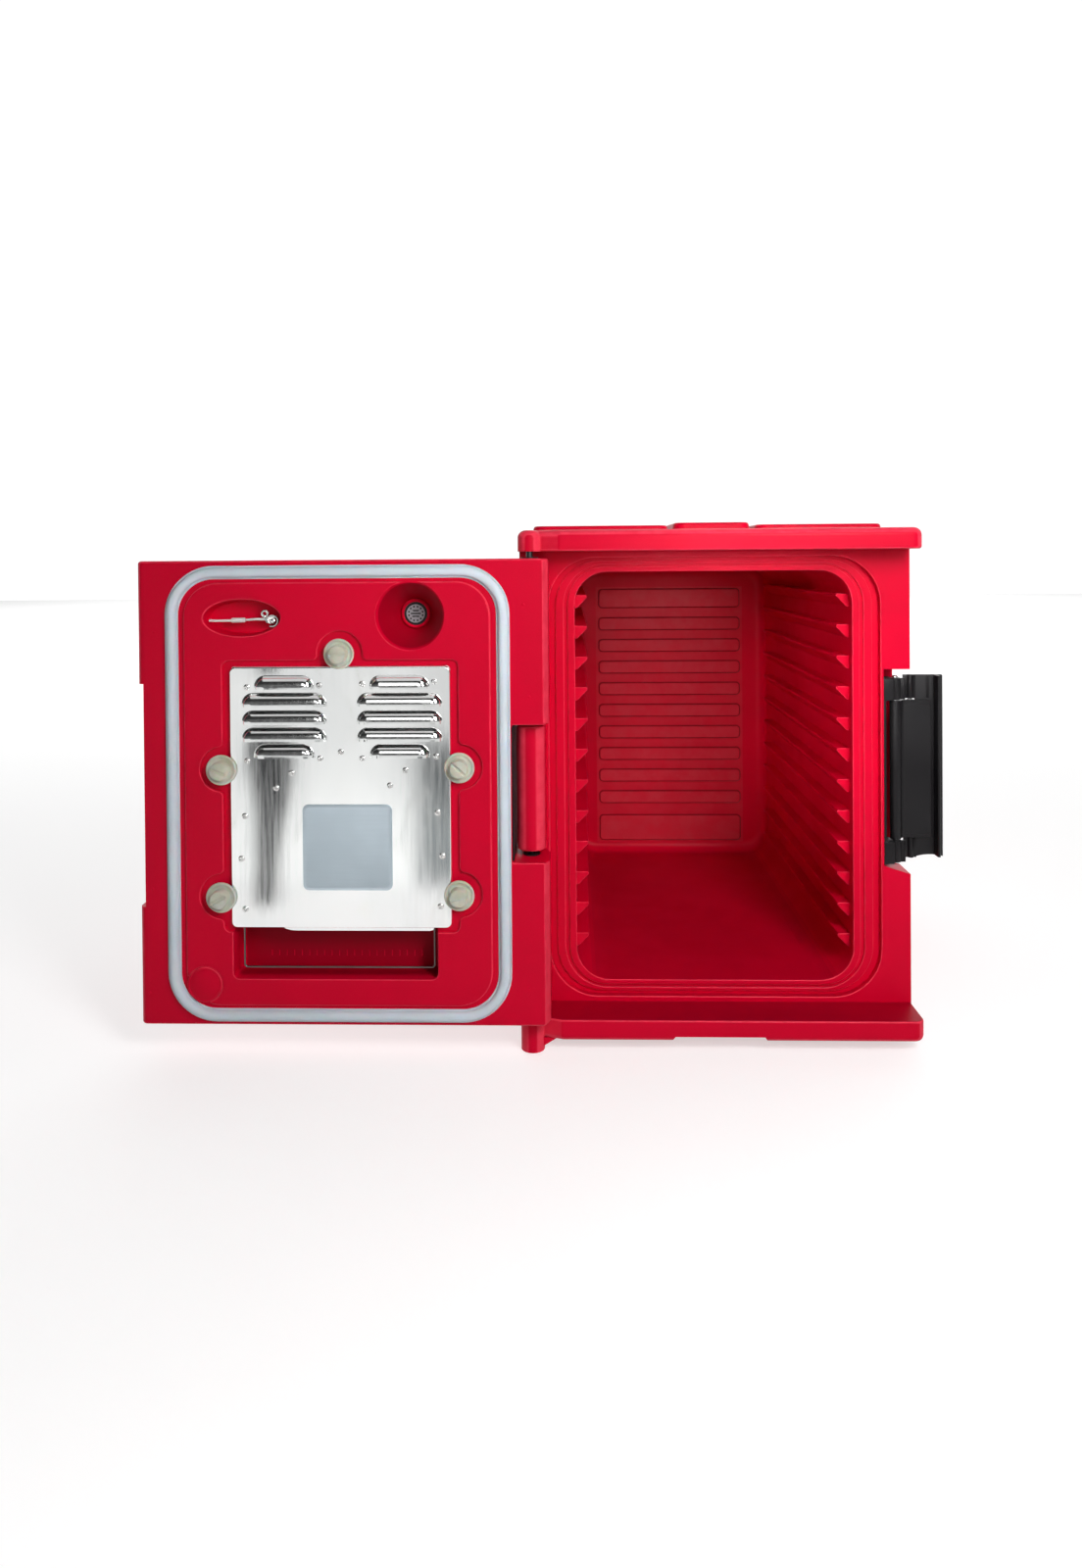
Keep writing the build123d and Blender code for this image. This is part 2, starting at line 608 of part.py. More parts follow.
with BuildPart() as hinge_bushes:
    for z0, zf in ((D_Z[0], D_Z[0] - 1.5), (NOTCH_Z[0] - 25, NOTCH_Z[0]), (NOTCH_Z[1], NOTCH_Z[1] - 1.5), (D_Z[1] - 25, D_Z[1])):
        with BuildSketch(Plane.XY.offset(z0)):
            with Locations((XH, YH)):
                Circle(7)
                Circle(ROD_R + ROD_FIT, mode=Mode.SUBTRACT)
        extrude(amount=25)
        with BuildSketch(Plane.XY.offset(zf)):
            with Locations((XH, YH)):
                Circle(10)
                Circle(ROD_R + ROD_FIT, mode=Mode.SUBTRACT)
        extrude(amount=1.5)
hinge_bushes.part.label = "hinge_bushes"

with BuildPart() as notch_liner:
    # black strip on the notch's side wall, next to the knuckle
    with BuildSketch(Plane.XY.offset(NOTCH_Z[0] + 2.4)):
        with Locations((NOTCH_X + 1.2, mid(D_IN + 2, D_OUT - 2))):
            RectangleRounded(2.4, D_OUT - D_IN - 4, 1.1)
    extrude(amount=NOTCH_Z[1] - NOTCH_Z[0] - 4.8)
notch_liner.part.label = "notch_liner"

with BuildPart() as latch_keeper:
    with BuildSketch(Plane.XY.offset(205)):
        with Locations((mid(LNOTCH_X, -656), -37.5)):
            Rectangle(LNOTCH_X * -1 - 656, 15)
        with Locations((mid(LNOTCH_X, -659.5), mid(-40.0, -34.5))):
            Rectangle(LNOTCH_X * -1 - 659.5, 5.5, mode=Mode.SUBTRACT)
    extrude(amount=233)
latch_keeper.part.label = "latch_keeper"

with BuildPart() as door_plug:
    with BuildSketch(xz(P_IN + 4)):
        with Locations(PLUG):
            Circle(20.5)
    extrude(amount=6.5)
    fillet(door_plug.faces().sort_by(Axis.Y)[0].edges(), radius=2.3)
door_plug.part.label = "door_plug"

# ---------------------------------------------------------------- heater module
PX, PZ = mid(PLATE[0], PLATE[1]), mid(PLATE[2], PLATE[3])
LOUV = []
for col in (-502.0, -369.3):
    for r, (z, w) in enumerate(((439.5, 68), (419.7, 97), (399.6, 97), (380.0, 97), (361.0, 68))):
        LOUV.append((col + (2 if col < HX else -1) * 0, z, w))
COVER_SCREWS = [(-545, 434.5), (-461.5, 436.5), (-412, 438), (-329.5, 440), (-545, 350), (-461, 352.5), (-412.5, 352.5), (-327.5, 355),
                (-437, 360), (-494, 336), (-512, 319), (-363, 339), (-381, 321.5), (-548.5, 286.5), (-326.5, 290.5), (-553, 237.5), (-321.5, 241), (-549, 179.5), (-324, 183)]
with BuildPart() as louvre_hood:
    with BuildSketch(xz(PLATE_Y[0] + 0.4)):
        for x, z, w in LOUV:
            with Locations((x, z)):
                SlotOverall(w, 16)
    extrude(amount=7.6, taper=36)
with BuildPart() as louvre_hollow:
    with BuildSketch(xz(PLATE_Y[1] + 0.3)):
        for x, z, w in LOUV:
            with Locations((x, z)):
                SlotOverall(w - 2, 14)
    extrude(amount=7.4, taper=36)
    # mouth on the lower side
    with BuildSketch(xz(PLATE_Y[0] - 0.4)):
        for x, z, w in LOUV:
            with Locations((x, z - 6.2)):
                Rectangle(w - 26, 5.6)
    extrude(amount=8)
with BuildPart() as heater_cover:
    with BuildSketch(xz(PLATE_Y[1])):
        with Locations((PX, PZ)):
            RectangleRounded(PLATE[1] - PLATE[0], PLATE[3] - PLATE[2], 5)
    extrude(amount=PLATE_Y[1] - PLATE_Y[0])
    add(louvre_hood.part)
    add(louvre_hollow.part, mode=Mode.SUBTRACT)
    # folded edges, back to the box's flange
    with BuildSketch(xz(PLATE_Y[1])):
        with Locations((PX, PZ)):
            RectangleRounded(PLATE[1] - PLATE[0], PLATE[3] - PLATE[2], 5)
            RectangleRounded(PLATE[1] - PLATE[0] - 2.4, PLATE[3] - PLATE[2] - 2.4, 3.8, mode=Mode.SUBTRACT)
    extrude(amount=-(FLANGE_Y - 1.2 - PLATE_Y[1]))
    # round bites where the nylon washers sit, and the screws' holes
    with BuildSketch(xz(PLATE_Y[0] - 1)):
        with Locations(*COVER_SCREWS):
            Circle(1.6)
    extrude(amount=-5, mode=Mode.SUBTRACT)
    with BuildSketch(xz(PLATE_Y[0] - 8)):
        with Locations(*KNOBS):
            Circle(9.2)
    extrude(amount=-12, mode=Mode.SUBTRACT)
heater_cover.part.label = "heater_cover"

with BuildPart() as heater_box:
    with BuildSketch(xz(BOX_Y[0])):
        with Locations((mid(BOX[0], BOX[1]), mid(BOX[2], BOX[3]))):
            RectangleRounded(BOX[1] - BOX[0], BOX[3] - BOX[2], 5.5)
    extrude(amount=-(BOX_Y[1] - BOX_Y[0]))
    # flange that rests on the pocket's step and carries the cover
    with BuildSketch(xz(FLANGE_Y)):
        with Locations((PX, mid(PLATE[2] + 4, PLATE[3]))):
            RectangleRounded(PLATE[1] - PLATE[0], PLATE[3] - PLATE[2] - 4, 5)
    extrude(amount=1.2)
    with BuildSketch(xz(FLANGE_Y - 2)):
        with Locations((mid(BOX[0], BOX[1]), mid(BOX[2], BOX[3]))):
            RectangleRounded(BOX[1] - BOX[0] - 2.4, BOX[3] - BOX[2] - 2.4, 4.3)
    extrude(amount=-(BOX_Y[1] - FLANGE_Y + 0.8), mode=Mode.SUBTRACT)
    # intake slot in the bottom wall and window for the controls
    with BuildSketch(Plane.XY.offset(BOX[2] - 2)):
        with Locations((HX, mid(-72, -42))):
            RectangleRounded(200, 26, 6)
    extrude(amount=6, mode=Mode.SUBTRACT)
    with BuildSketch(xz(-32)):
        with Locations((mid(CTRL[0], CTRL[1]), mid(CTRL[2], CTRL[3]))):
            Rectangle(CTRL[1] - CTRL[0] - 26, CTRL[3] - CTRL[2] - 26)
        with Locations((HX, FAN_Z)):
            Circle(3)
    extrude(amount=-6, mode=Mode.SUBTRACT)
heater_box.part.label = "heater_box"

with BuildPart() as fan_motor:
    with BuildSketch(xz(-30.2)):
        with Locations((HX, FAN_Z)):
            Circle(27)
    extrude(amount=18)
    fillet(fan_motor.faces().sort_by(Axis.Y)[0].edges(), radius=3)
    with BuildSketch(xz(-30.2)):
        with Locations((HX, FAN_Z)):
            Rectangle(78, 14)
    extrude(amount=3)
    with BuildSketch(xz(-20)):
        with Locations((HX, FAN_Z)):
            Circle(2.5 + ROD_FIT)
    extrude(amount=40, mode=Mode.SUBTRACT)
fan_motor.part.label = "fan_motor"

with BuildPart() as fan_shaft:
    with BuildSketch(xz(-31)):
        with Locations((HX, FAN_Z)):
            Circle(2.5)
    extrude(amount=40)
fan_shaft.part.label = "fan_shaft"

with BuildPart() as fan_wheel:
    with BuildSketch(xz(-51)):
        with Locations((HX, FAN_Z)):
            Circle(50)
            Circle(2.5, mode=Mode.SUBTRACT)
    extrude(amount=1.5)
    with BuildSketch(xz(-52)):
        with Locations((HX, FAN_Z)):
            Circle(12)
            Circle(2.5, mode=Mode.SUBTRACT)
    extrude(amount=16)
    # curved-blade ring, as straight backward-leaning blades
    with BuildSketch(xz(-52)):
        with Locations((HX, FAN_Z)):
            with PolarLocations(39, 24):
                Rectangle(19, 1.6, rotation=38)
    extrude(amount=16)
    with BuildSketch(xz(-67)):
        with Locations((HX, FAN_Z)):
            Circle(50)
            Circle(44, mode=Mode.SUBTRACT)
    extrude(amount=1.5)
fan_wheel.part.label = "fan_wheel"

# tubular element: one hairpin run, bent round arcs, its ends into the terminal side
with BuildPart() as heater_element:
    with BuildLine(xz(-46)) as el:
        FilletPolyline((-530, 180), (-530, 238), (-500, 238), (-500, 190), (-470, 190), (-470, 238), (-440, 238),
                       (-440, 190), (-410, 190), (-410, 238), (-380, 238), (-380, 190), (-348, 190), (-348, 222), radius=12)
    with BuildSketch(Plane(el.line @ 0, z_dir=el.line % 0)):
        Circle(3.6)
    sweep(path=el.line)
heater_element.part.label = "heater_element"

with BuildPart() as element_clips:
    for x, z in ((-515, 238), (-455, 238), (-395, 238), (-425, 190)):
        with BuildSketch(xz(-30.2)):
            with Locations((x, z)):
                Rectangle(8, 14)
        extrude(amount=11.5)
element_clips.part.label = "element_clips"

with BuildPart() as thermostat:
    with BuildSketch(xz(-30.2)):
        with Locations((-345, 320)):
            Circle(11)
    extrude(amount=12)
    with BuildSketch(xz(-42)):
        with Locations((-345, 320)):
            Circle(6)
    extrude(amount=6)
thermostat.part.label = "thermostat"

with BuildPart() as overheat_cutout:
    with BuildSketch(xz(-30.2)):
        with Locations((-535, 335)):
            Circle(9)
            Rectangle(30, 8)
    extrude(amount=3)
    with BuildSketch(xz(-33)):
        with Locations((-535, 335)):
            Circle(9)
    extrude(amount=9)
overheat_cutout.part.label = "overheat_cutout"

with BuildPart() as terminal_block:
    with BuildSketch(xz(-30.2)):
        with Locations((-341, 262)):
            Rectangle(22, 48)
    extrude(amount=8)
    with BuildSketch(xz(-38)):
        with Locations((-341, 262)):
            Rectangle(12, 48)
    extrude(amount=8)
    with BuildSketch(xz(-47)):
        with GridLocations(1, 15, 1, 3):
            with Locations((-341, 262)):
                Circle(2.6)
    extrude(amount=-5, mode=Mode.SUBTRACT)
terminal_block.part.label = "terminal_block"

with BuildPart() as heater_leads:
    # insulated wires between inlet, terminals, thermostat and motor
    with BuildLine(xz(-38)) as ld:
        FilletPolyline((-345, 331.4), (-345, 375), (-413.5, 375), radius=16)
    with BuildSketch(Plane(ld.line @ 0, z_dir=ld.line % 0)):
        Circle(1.2)
    sweep(path=ld.line)
    with BuildSketch(Plane.XY.offset(286)):
        with Locations((-341, -36)):
            Circle(1.2)
    extrude(amount=23.5)
    with BuildSketch(Plane.YZ.offset(-382)):
        with Locations((-36, 280)):
            Circle(1.2)
    extrude(amount=30)
heater_leads.part.label = "heater_leads"

with BuildPart() as nylon_washers:
    with BuildSketch(xz(POCKET_Y)):
        with Locations(*KNOBS):
            Circle(8.8)
            Circle(5, mode=Mode.SUBTRACT)
    extrude(amount=6)
    with BuildSketch(xz(POCKET_Y - 5.7)):
        with Locations(*KNOBS):
            Circle(17.5)
            Circle(5, mode=Mode.SUBTRACT)
    extrude(amount=4.2)
    with BuildSketch(xz(POCKET_Y - 7.9)):
        with Locations(*KNOBS):
            Circle(14.6)
            Circle(4.9, mode=Mode.SUBTRACT)
    extrude(amount=4, mode=Mode.SUBTRACT)
nylon_washers.part.label = "nylon_washers"

with BuildPart() as nylon_screws:
    with BuildSketch(xz(POCKET_Y + 5.5)):
        with Locations(*KNOBS):
            Circle(5)
    extrude(amount=14)
    with BuildSketch(xz(POCKET_Y - 7.9)):
        with Locations(*KNOBS):
            Circle(10.5)
    extrude(amount=12)
    with BuildSketch(xz(POCKET_Y - 17.4)):
        with Locations(*KNOBS):
            Rectangle(22, 2.6)
    extrude(amount=4, mode=Mode.SUBTRACT)
nylon_screws.part.label = "nylon_screws"

with BuildPart() as cover_screws:
    with BuildSketch(xz(PLATE_Y[0])):
        with Locations(*COVER_SCREWS):
            Circle(3.2)
    extrude(amount=1.7)
    fillet(cover_screws.faces().group_by(Axis.Y)[0].edges(), radius=1.2)
    with BuildSketch(xz(PLATE_Y[0] + 4)):
        with Locations(*COVER_SCREWS):
            Circle(1.6)
    extrude(amount=4.2)
cover_screws.part.label = "cover_screws"

with BuildPart() as label_plate:
    with BuildSketch(xz(PLATE_Y[0])):
        with Locations((mid(-481.8, -378.8), mid(201.4, 300))):
            RectangleRounded(103, 98.5, 7)
    extrude(amount=0.6)
label_plate.part.label = "label_plate"

with BuildPart() as wire_guard:
    with BuildLine(xz(-70)) as wg:
        FilletPolyline((-553.5, 160), (-553.5, 109), (-332.5, 109), (-332.5, 160), radius=4)
    with BuildSketch(Plane(wg.line @ 0, z_dir=wg.line % 0)):
        Circle(1.1)
    sweep(path=wg.line)
wire_guard.part.label = "wire_guard"

# ---------------------------------------------------------------- vent
with BuildPart() as vent_sleeve:
    with BuildSketch(xz(-30)):
        with Locations(VENT):
            Circle(12)
            Circle(9, mode=Mode.SUBTRACT)
    extrude(amount=-19)
vent_sleeve.part.label = "vent_sleeve"

with BuildPart() as vent_insert:
    with BuildSketch(xz(-30)):
        with Locations(VENT):
            Circle(17)
    extrude(amount=4)
    with BuildSketch(xz(-29)):
        with Locations(VENT):
            with GridLocations(0, 9, 1, 2):
                SlotOverall(16, 3.6)
            with GridLocations(9, 20, 2, 2):
                Circle(1.6)
    extrude(amount=8, mode=Mode.SUBTRACT)
vent_insert.part.label = "vent_insert"

with BuildPart() as vent_cap:
    with BuildSketch(xz(-10.6)):
        with Locations(VENT):
            Circle(25.5)
    extrude(amount=-6)
    fillet(vent_cap.faces().sort_by(Axis.Y)[-1].edges(), radius=2)
    with BuildSketch(xz(-5)):
        with Locations(VENT):
            SlotOverall(46, 9)
    extrude(amount=-9)
    with BuildSketch(xz(-10)):
        with Locations(VENT):
            Circle(8.95)
            Circle(7, mode=Mode.SUBTRACT)
    extrude(amount=6)
    with BuildSketch(xz(-12)):
        with Locations(VENT):
            with PolarLocations(18, 2, start_angle=90):
                Circle(3)
    extrude(amount=-20, mode=Mode.SUBTRACT)
vent_cap.part.label = "vent_cap"

# ---------------------------------------------------------------- probe and thermometer
PRZ = OVAL[1] - 2.5
with BuildPart() as probe_stem:
    with BuildSketch(Plane.YZ.offset(-591)):
        with Locations((-70, PRZ)):
            Circle(1.6)
    extrude(amount=60)
probe_stem.part.label = "probe_stem"

with BuildPart() as probe_sleeve:
    with BuildSketch(Plane.YZ.offset(-564)):
        with Locations((-70, PRZ)):
            Circle(3.2)
            Circle(1.6, mode=Mode.SUBTRACT)
    extrude(amount=14)
probe_sleeve.part.label = "probe_sleeve"

with BuildPart() as probe_clip:
    with BuildSketch(xz(-58)):
        with Locations((-523, PRZ + 0.5)):
            Circle(7)
    extrude(amount=9)
    with BuildSketch(xz(-66.5)):
        with Locations((-523, PRZ + 0.5)):
            Circle(8)
            Circle(3.5, mode=Mode.SUBTRACT)
        with Locations((-532, PRZ)):
            Rectangle(6, 7)
    extrude(amount=7)
    with BuildSketch(Plane.YZ.offset(-540)):
        with Locations((-70, PRZ)):
            Circle(1.6)
    extrude(amount=12, mode=Mode.SUBTRACT)
probe_clip.part.label = "probe_clip"

TH_Y = -4.0
with BuildPart() as thermometer_case:
    with BuildSketch(xz(-28)):
        with Locations(OVAL):
            Circle(30)
    extrude(amount=-24)
    with BuildSketch(xz(TH_Y - 2)):
        with Locations(OVAL):
            Circle(32.4)
    extrude(amount=-5)
    fillet(thermometer_case.faces().sort_by(Axis.Y)[-1].edges(), radius=1.5)
    with BuildSketch(xz(-14)):
        with Locations(OVAL):
            Circle(28)
    extrude(amount=-20, mode=Mode.SUBTRACT)
thermometer_case.part.label = "thermometer_case"

with BuildPart() as thermometer_dial:
    with BuildSketch(xz(-14)):
        with Locations(OVAL):
            Circle(28)
    extrude(amount=-1)
    with BuildSketch(xz(-13.2)):
        with Locations(OVAL):
            Circle(1.0)
    extrude(amount=-4.5)
thermometer_dial.part.label = "thermometer_dial"

with BuildPart() as thermometer_pointer:
    with BuildSketch(xz(-11)):
        with Locations(OVAL):
            Circle(3)
            with Locations((-7, -7)):
                Rectangle(26, 1.6, rotation=45)
            Circle(1.05, mode=Mode.SUBTRACT)
    extrude(amount=-1)
thermometer_pointer.part.label = "thermometer_pointer"

with BuildPart() as thermometer_glass:
    with BuildSketch(xz(-6)):
        with Locations(OVAL):
            Circle(28)
    extrude(amount=-2)
thermometer_glass.part.label = "thermometer_glass"

# ---------------------------------------------------------------- controls on the outer face
CPX, CPZ = mid(CTRL[0], CTRL[1]), mid(CTRL[2], CTRL[3])
SW = (CPX - 48, CPZ + 12)
LAMP = (CPX - 48, CPZ - 34)
INLET = (CPX + 32, CPZ)
with BuildPart() as control_panel:
    with BuildSketch(xz(-13.5)):
        with Locations((CPX, CPZ)):
            RectangleRounded(CTRL[1] - CTRL[0], CTRL[3] - CTRL[2], 9)
    extrude(amount=-2.5)
    with BuildSketch(xz(-15)):
        with Locations(SW):
            Rectangle(22, 30)
        with Locations(LAMP):
            Circle(6)
        with Locations(INLET):
            Rectangle(48, 34)
    extrude(amount=-6, mode=Mode.SUBTRACT)
control_panel.part.label = "control_panel"

with BuildPart() as panel_screws:
    with BuildSketch(xz(-11)):
        with Locations((CPX, CPZ)):
            with GridLocations(156, 106, 2, 2):
                Circle(3.4)
    extrude(amount=-1.8)
    fillet(panel_screws.faces().group_by(Axis.Y)[-1].edges(), radius=1.2)
panel_screws.part.label = "panel_screws"

with BuildPart() as switch_housing:
    with BuildSketch(xz(-11)):
        with Locations(SW):
            RectangleRounded(25, 33, 2)
    extrude(amount=-1.6)
    with BuildSketch(xz(-36)):
        with Locations(SW):
            Rectangle(22, 30)
    extrude(amount=-25)
    with BuildSketch(xz(-28)):
        with Locations(SW):
            Rectangle(18, 26)
    extrude(amount=-30, mode=Mode.SUBTRACT)
    with BuildSketch(Plane.YZ.offset(SW[0] - 10.5)):
        with Locations((-14.0, SW[1])):
            Circle(1.5)
    extrude(amount=21, mode=Mode.SUBTRACT)
switch_housing.part.label = "switch_housing"

with BuildPart() as rocker_switch:
    with BuildSketch(Plane.YZ.offset(SW[0] - 8.5)):
        with BuildLine():
            Polyline((-20, SW[1] - 9), (-9.3, SW[1] - 11.2), (-8.2, SW[1] - 10.4), (-8.9, SW[1]), (-5.6, SW[1] + 10.2), (-6.9, SW[1] + 11.2), (-20, SW[1] + 9), close=True)
        make_face()
    extrude(amount=17)
    with BuildSketch(Plane.YZ.offset(SW[0] - 10.4)):
        with Locations((-14.0, SW[1])):
            Circle(1.45)
    extrude(amount=20.8)
rocker_switch.part.label = "rocker_switch"

with BuildPart() as indicator_lamp:
    with BuildSketch(xz(-30)):
        with Locations(LAMP):
            Circle(6)
    extrude(amount=-19)
    with BuildSketch(xz(-11)):
        with Locations(LAMP):
            Circle(7.5)
    extrude(amount=-3)
    fillet(indicator_lamp.faces().sort_by(Axis.Y)[-1].edges(), radius=2)
indicator_lamp.part.label = "indicator_lamp"

with BuildPart() as power_inlet:
    with BuildSketch(xz(-11)):
        with Locations(INLET):
            RectangleRounded(64, 42, 8)
    extrude(amount=-2.5)
    with BuildSketch(xz(-40)):
        with Locations(INLET):
            Rectangle(48, 34)
    extrude(amount=-30)
    with BuildSketch(xz(-31)):
        with BuildLine():
            Polyline((INLET[0] - 15.5, INLET[1] - 11.5), (INLET[0] + 15.5, INLET[1] - 11.5), (INLET[0] + 15.5, INLET[1] + 4),
                     (INLET[0] + 8, INLET[1] + 11.5), (INLET[0] - 8, INLET[1] + 11.5), (INLET[0] - 15.5, INLET[1] + 4), close=True)
        make_face()
    extrude(amount=-30, mode=Mode.SUBTRACT)
power_inlet.part.label = "power_inlet"

with BuildPart() as inlet_pins:
    with BuildSketch(xz(-31)):
        with Locations(INLET):
            with Locations((-7, -3), (7, -3), (0, 4.5)):
                Rectangle(2, 4)
    extrude(amount=-16)
inlet_pins.part.label = "inlet_pins"

# ---------------------------------------------------------------- files
for piece in (cabinet_shell, cabinet_foam, cabinet_plugs, hinge_rod, hinge_rod_cap,
              latch_mount, latch_mount_screws, latch_pin, latch_link, paddle_pin, latch_paddle,
              door_shell, door_foam, door_gasket, hinge_bushes, notch_liner, latch_keeper, door_plug,
              heater_cover, heater_box, fan_motor, fan_shaft, fan_wheel, heater_element, element_clips, heater_leads,
              thermostat, overheat_cutout, terminal_block, nylon_washers, nylon_screws, cover_screws,
              label_plate, wire_guard, vent_sleeve, vent_insert, vent_cap, probe_stem, probe_sleeve,
              probe_clip, thermometer_case, thermometer_dial, thermometer_pointer, thermometer_glass,
              control_panel, panel_screws, switch_housing, rocker_switch, indicator_lamp, power_inlet, inlet_pins):
    export_step(piece.part, "parts/" + piece.part.label + ".step")
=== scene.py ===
import json
import math
import random
import bpy
import bmesh
from mathutils import Vector, Matrix
from mathutils.geometry import tessellate_polygon


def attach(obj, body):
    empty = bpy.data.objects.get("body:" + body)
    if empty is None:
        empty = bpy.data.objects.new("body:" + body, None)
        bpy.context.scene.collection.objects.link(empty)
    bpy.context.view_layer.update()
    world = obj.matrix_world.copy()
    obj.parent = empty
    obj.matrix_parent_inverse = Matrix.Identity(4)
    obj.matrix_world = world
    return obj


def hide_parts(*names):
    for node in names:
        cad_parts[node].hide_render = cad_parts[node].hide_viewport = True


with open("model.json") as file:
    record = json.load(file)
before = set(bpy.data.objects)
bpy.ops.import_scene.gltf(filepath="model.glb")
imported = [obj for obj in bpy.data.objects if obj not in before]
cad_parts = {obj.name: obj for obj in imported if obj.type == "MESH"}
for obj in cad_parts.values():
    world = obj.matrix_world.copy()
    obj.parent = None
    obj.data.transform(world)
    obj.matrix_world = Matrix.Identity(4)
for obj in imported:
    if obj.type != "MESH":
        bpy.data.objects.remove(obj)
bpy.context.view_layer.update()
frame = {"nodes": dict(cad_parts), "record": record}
NODES = frame["nodes"]
MM = 0.001
SCENE = bpy.context.scene
COLL = SCENE.collection


# ------------------------------------------------------------------ camera
# a least-squares fit to the rails, the rim, the lips and the door's outline
def make_camera():
    x, y, z, psi, th, rho, f, ppy = -175.08, -1210.07, 578.88, 0.02776, -0.01007, -0.00757, 1016.0, 580.83
    fwd = Vector((-math.sin(psi) * math.cos(th), math.cos(psi) * math.cos(th), math.sin(th)))
    side = Vector((math.cos(psi), math.sin(psi), 0))
    over = side.cross(fwd)
    right = side * math.cos(rho) + over * math.sin(rho)
    up = -side * math.sin(rho) + over * math.cos(rho)
    cam = bpy.data.cameras.new("camera")
    obj = bpy.data.objects.new("camera", cam)
    COLL.objects.link(obj)
    obj.matrix_world = Matrix(((right.x, up.x, -fwd.x, x * MM), (right.y, up.y, -fwd.y, y * MM),
                               (right.z, up.z, -fwd.z, z * MM), (0, 0, 0, 1)))
    cam.sensor_fit = "AUTO"
    cam.sensor_width = 36
    cam.lens = 36 * f / 1600
    cam.shift_y = -(800 - ppy) / 1600
    cam.clip_start = 0.02
    cam.clip_end = 60
    SCENE.camera = obj


make_camera()


# ------------------------------------------------------------------ material trees
class Tree:
    """A material's node tree with short calls for the nodes used here."""

    def __init__(self, name):
        self.mat = bpy.data.materials.new(name)
        self.mat.use_nodes = True
        self.t = self.mat.node_tree
        self.t.nodes.clear()
        self.out = self.t.nodes.new("ShaderNodeOutputMaterial")
        self.bsdf = self.t.nodes.new("ShaderNodeBsdfPrincipled")
        self.t.links.new(self.bsdf.outputs[0], self.out.inputs[0])
        self.coord = self.t.nodes.new("ShaderNodeTexCoord").outputs["Object"]

    def link(self, a, b):
        self.t.links.new(a, b)

    def put(self, socket, value):
        if hasattr(value, "is_output"):
            self.link(value, socket)
        else:
            socket.default_value = value

    def scale(self, s, place=(0, 0, 0), turn=(0, 0, 0), vector=None):
        n = self.t.nodes.new("ShaderNodeMapping")
        self.link(vector if vector is not None else self.coord, n.inputs["Vector"])
        n.inputs["Scale"].default_value = s
        n.inputs["Location"].default_value = place
        n.inputs["Rotation"].default_value = turn
        return n.outputs[0]

    def noise(self, scale, detail=2.0, rough=0.5, vector=None, distort=0.0):
        n = self.t.nodes.new("ShaderNodeTexNoise")
        self.link(vector if vector is not None else self.coord, n.inputs["Vector"])
        n.inputs["Scale"].default_value = scale
        n.inputs["Detail"].default_value = detail
        n.inputs["Roughness"].default_value = rough
        n.inputs["Distortion"].default_value = distort
        return n.outputs["Fac"]

    def voronoi(self, scale, feature="F1", vector=None, out="Distance"):
        n = self.t.nodes.new("ShaderNodeTexVoronoi")
        n.feature = feature
        self.link(vector if vector is not None else self.coord, n.inputs["Vector"])
        n.inputs["Scale"].default_value = scale
        return n.outputs[out]

    def ramp(self, value, lo, hi, a=0.0, b=1.0, smooth=True):
        n = self.t.nodes.new("ShaderNodeMapRange")
        n.interpolation_type = "SMOOTHSTEP" if smooth else "LINEAR"
        self.link(value, n.inputs["Value"])
        n.inputs["From Min"].default_value = lo
        n.inputs["From Max"].default_value = hi
        n.inputs["To Min"].default_value = a
        n.inputs["To Max"].default_value = b
        return n.outputs["Result"]

    def math(self, op, a, b=0.0, clamp=False):
        n = self.t.nodes.new("ShaderNodeMath")
        n.operation = op
        n.use_clamp = clamp
        self.put(n.inputs[0], a)
        self.put(n.inputs[1], b)
        return n.outputs[0]

    def mix(self, fac, a, b):
        n = self.t.nodes.new("ShaderNodeMix")
        n.data_type = "RGBA"
        self.put(n.inputs["Factor"], fac)
        for s, v in ((n.inputs[6], a), (n.inputs[7], b)):
            self.put(s, (*v, 1.0) if isinstance(v, tuple) and len(v) == 3 else v)
        return n.outputs[2]

    def bump(self, height, strength, distance, normal=None):
        n = self.t.nodes.new("ShaderNodeBump")
        n.inputs["Strength"].default_value = strength
        n.inputs["Distance"].default_value = distance
        self.link(height, n.inputs["Height"])
        if normal is not None:
            self.link(normal, n.inputs["Normal"])
        return n.outputs[0]

    def xyz(self, vector=None):
        n = self.t.nodes.new("ShaderNodeSeparateXYZ")
        self.link(vector if vector is not None else self.coord, n.inputs[0])
        return n.outputs

    def edge(self, size):
        """1 on convex edges, 0 elsewhere, from the mesh's pointiness."""
        n = self.t.nodes.new("ShaderNodeNewGeometry")
        return self.ramp(n.outputs["Pointiness"], 0.5 + size, 0.5 + 3 * size)

    def set(self, **sockets):
        for name, value in sockets.items():
            s = self.bsdf.inputs[name.replace("_", " ")]
            if isinstance(value, tuple) and len(value) == 3 and len(s.default_value) == 4:
                value = (*value, 1.0)
            self.put(s, value)
        return self.mat


def marks(m, scale, stretch, keep=0.72, seed=0.0):
    """Thin scuffs: a stretched noise field, thresholded."""
    v = m.scale(stretch, (seed, seed * 1.7, seed * 0.6), (0.3 * seed, 0.8 + seed, 0.2))
    return m.ramp(m.noise(scale, 3.0, 0.55, v, 0.4), keep, keep + 0.05)


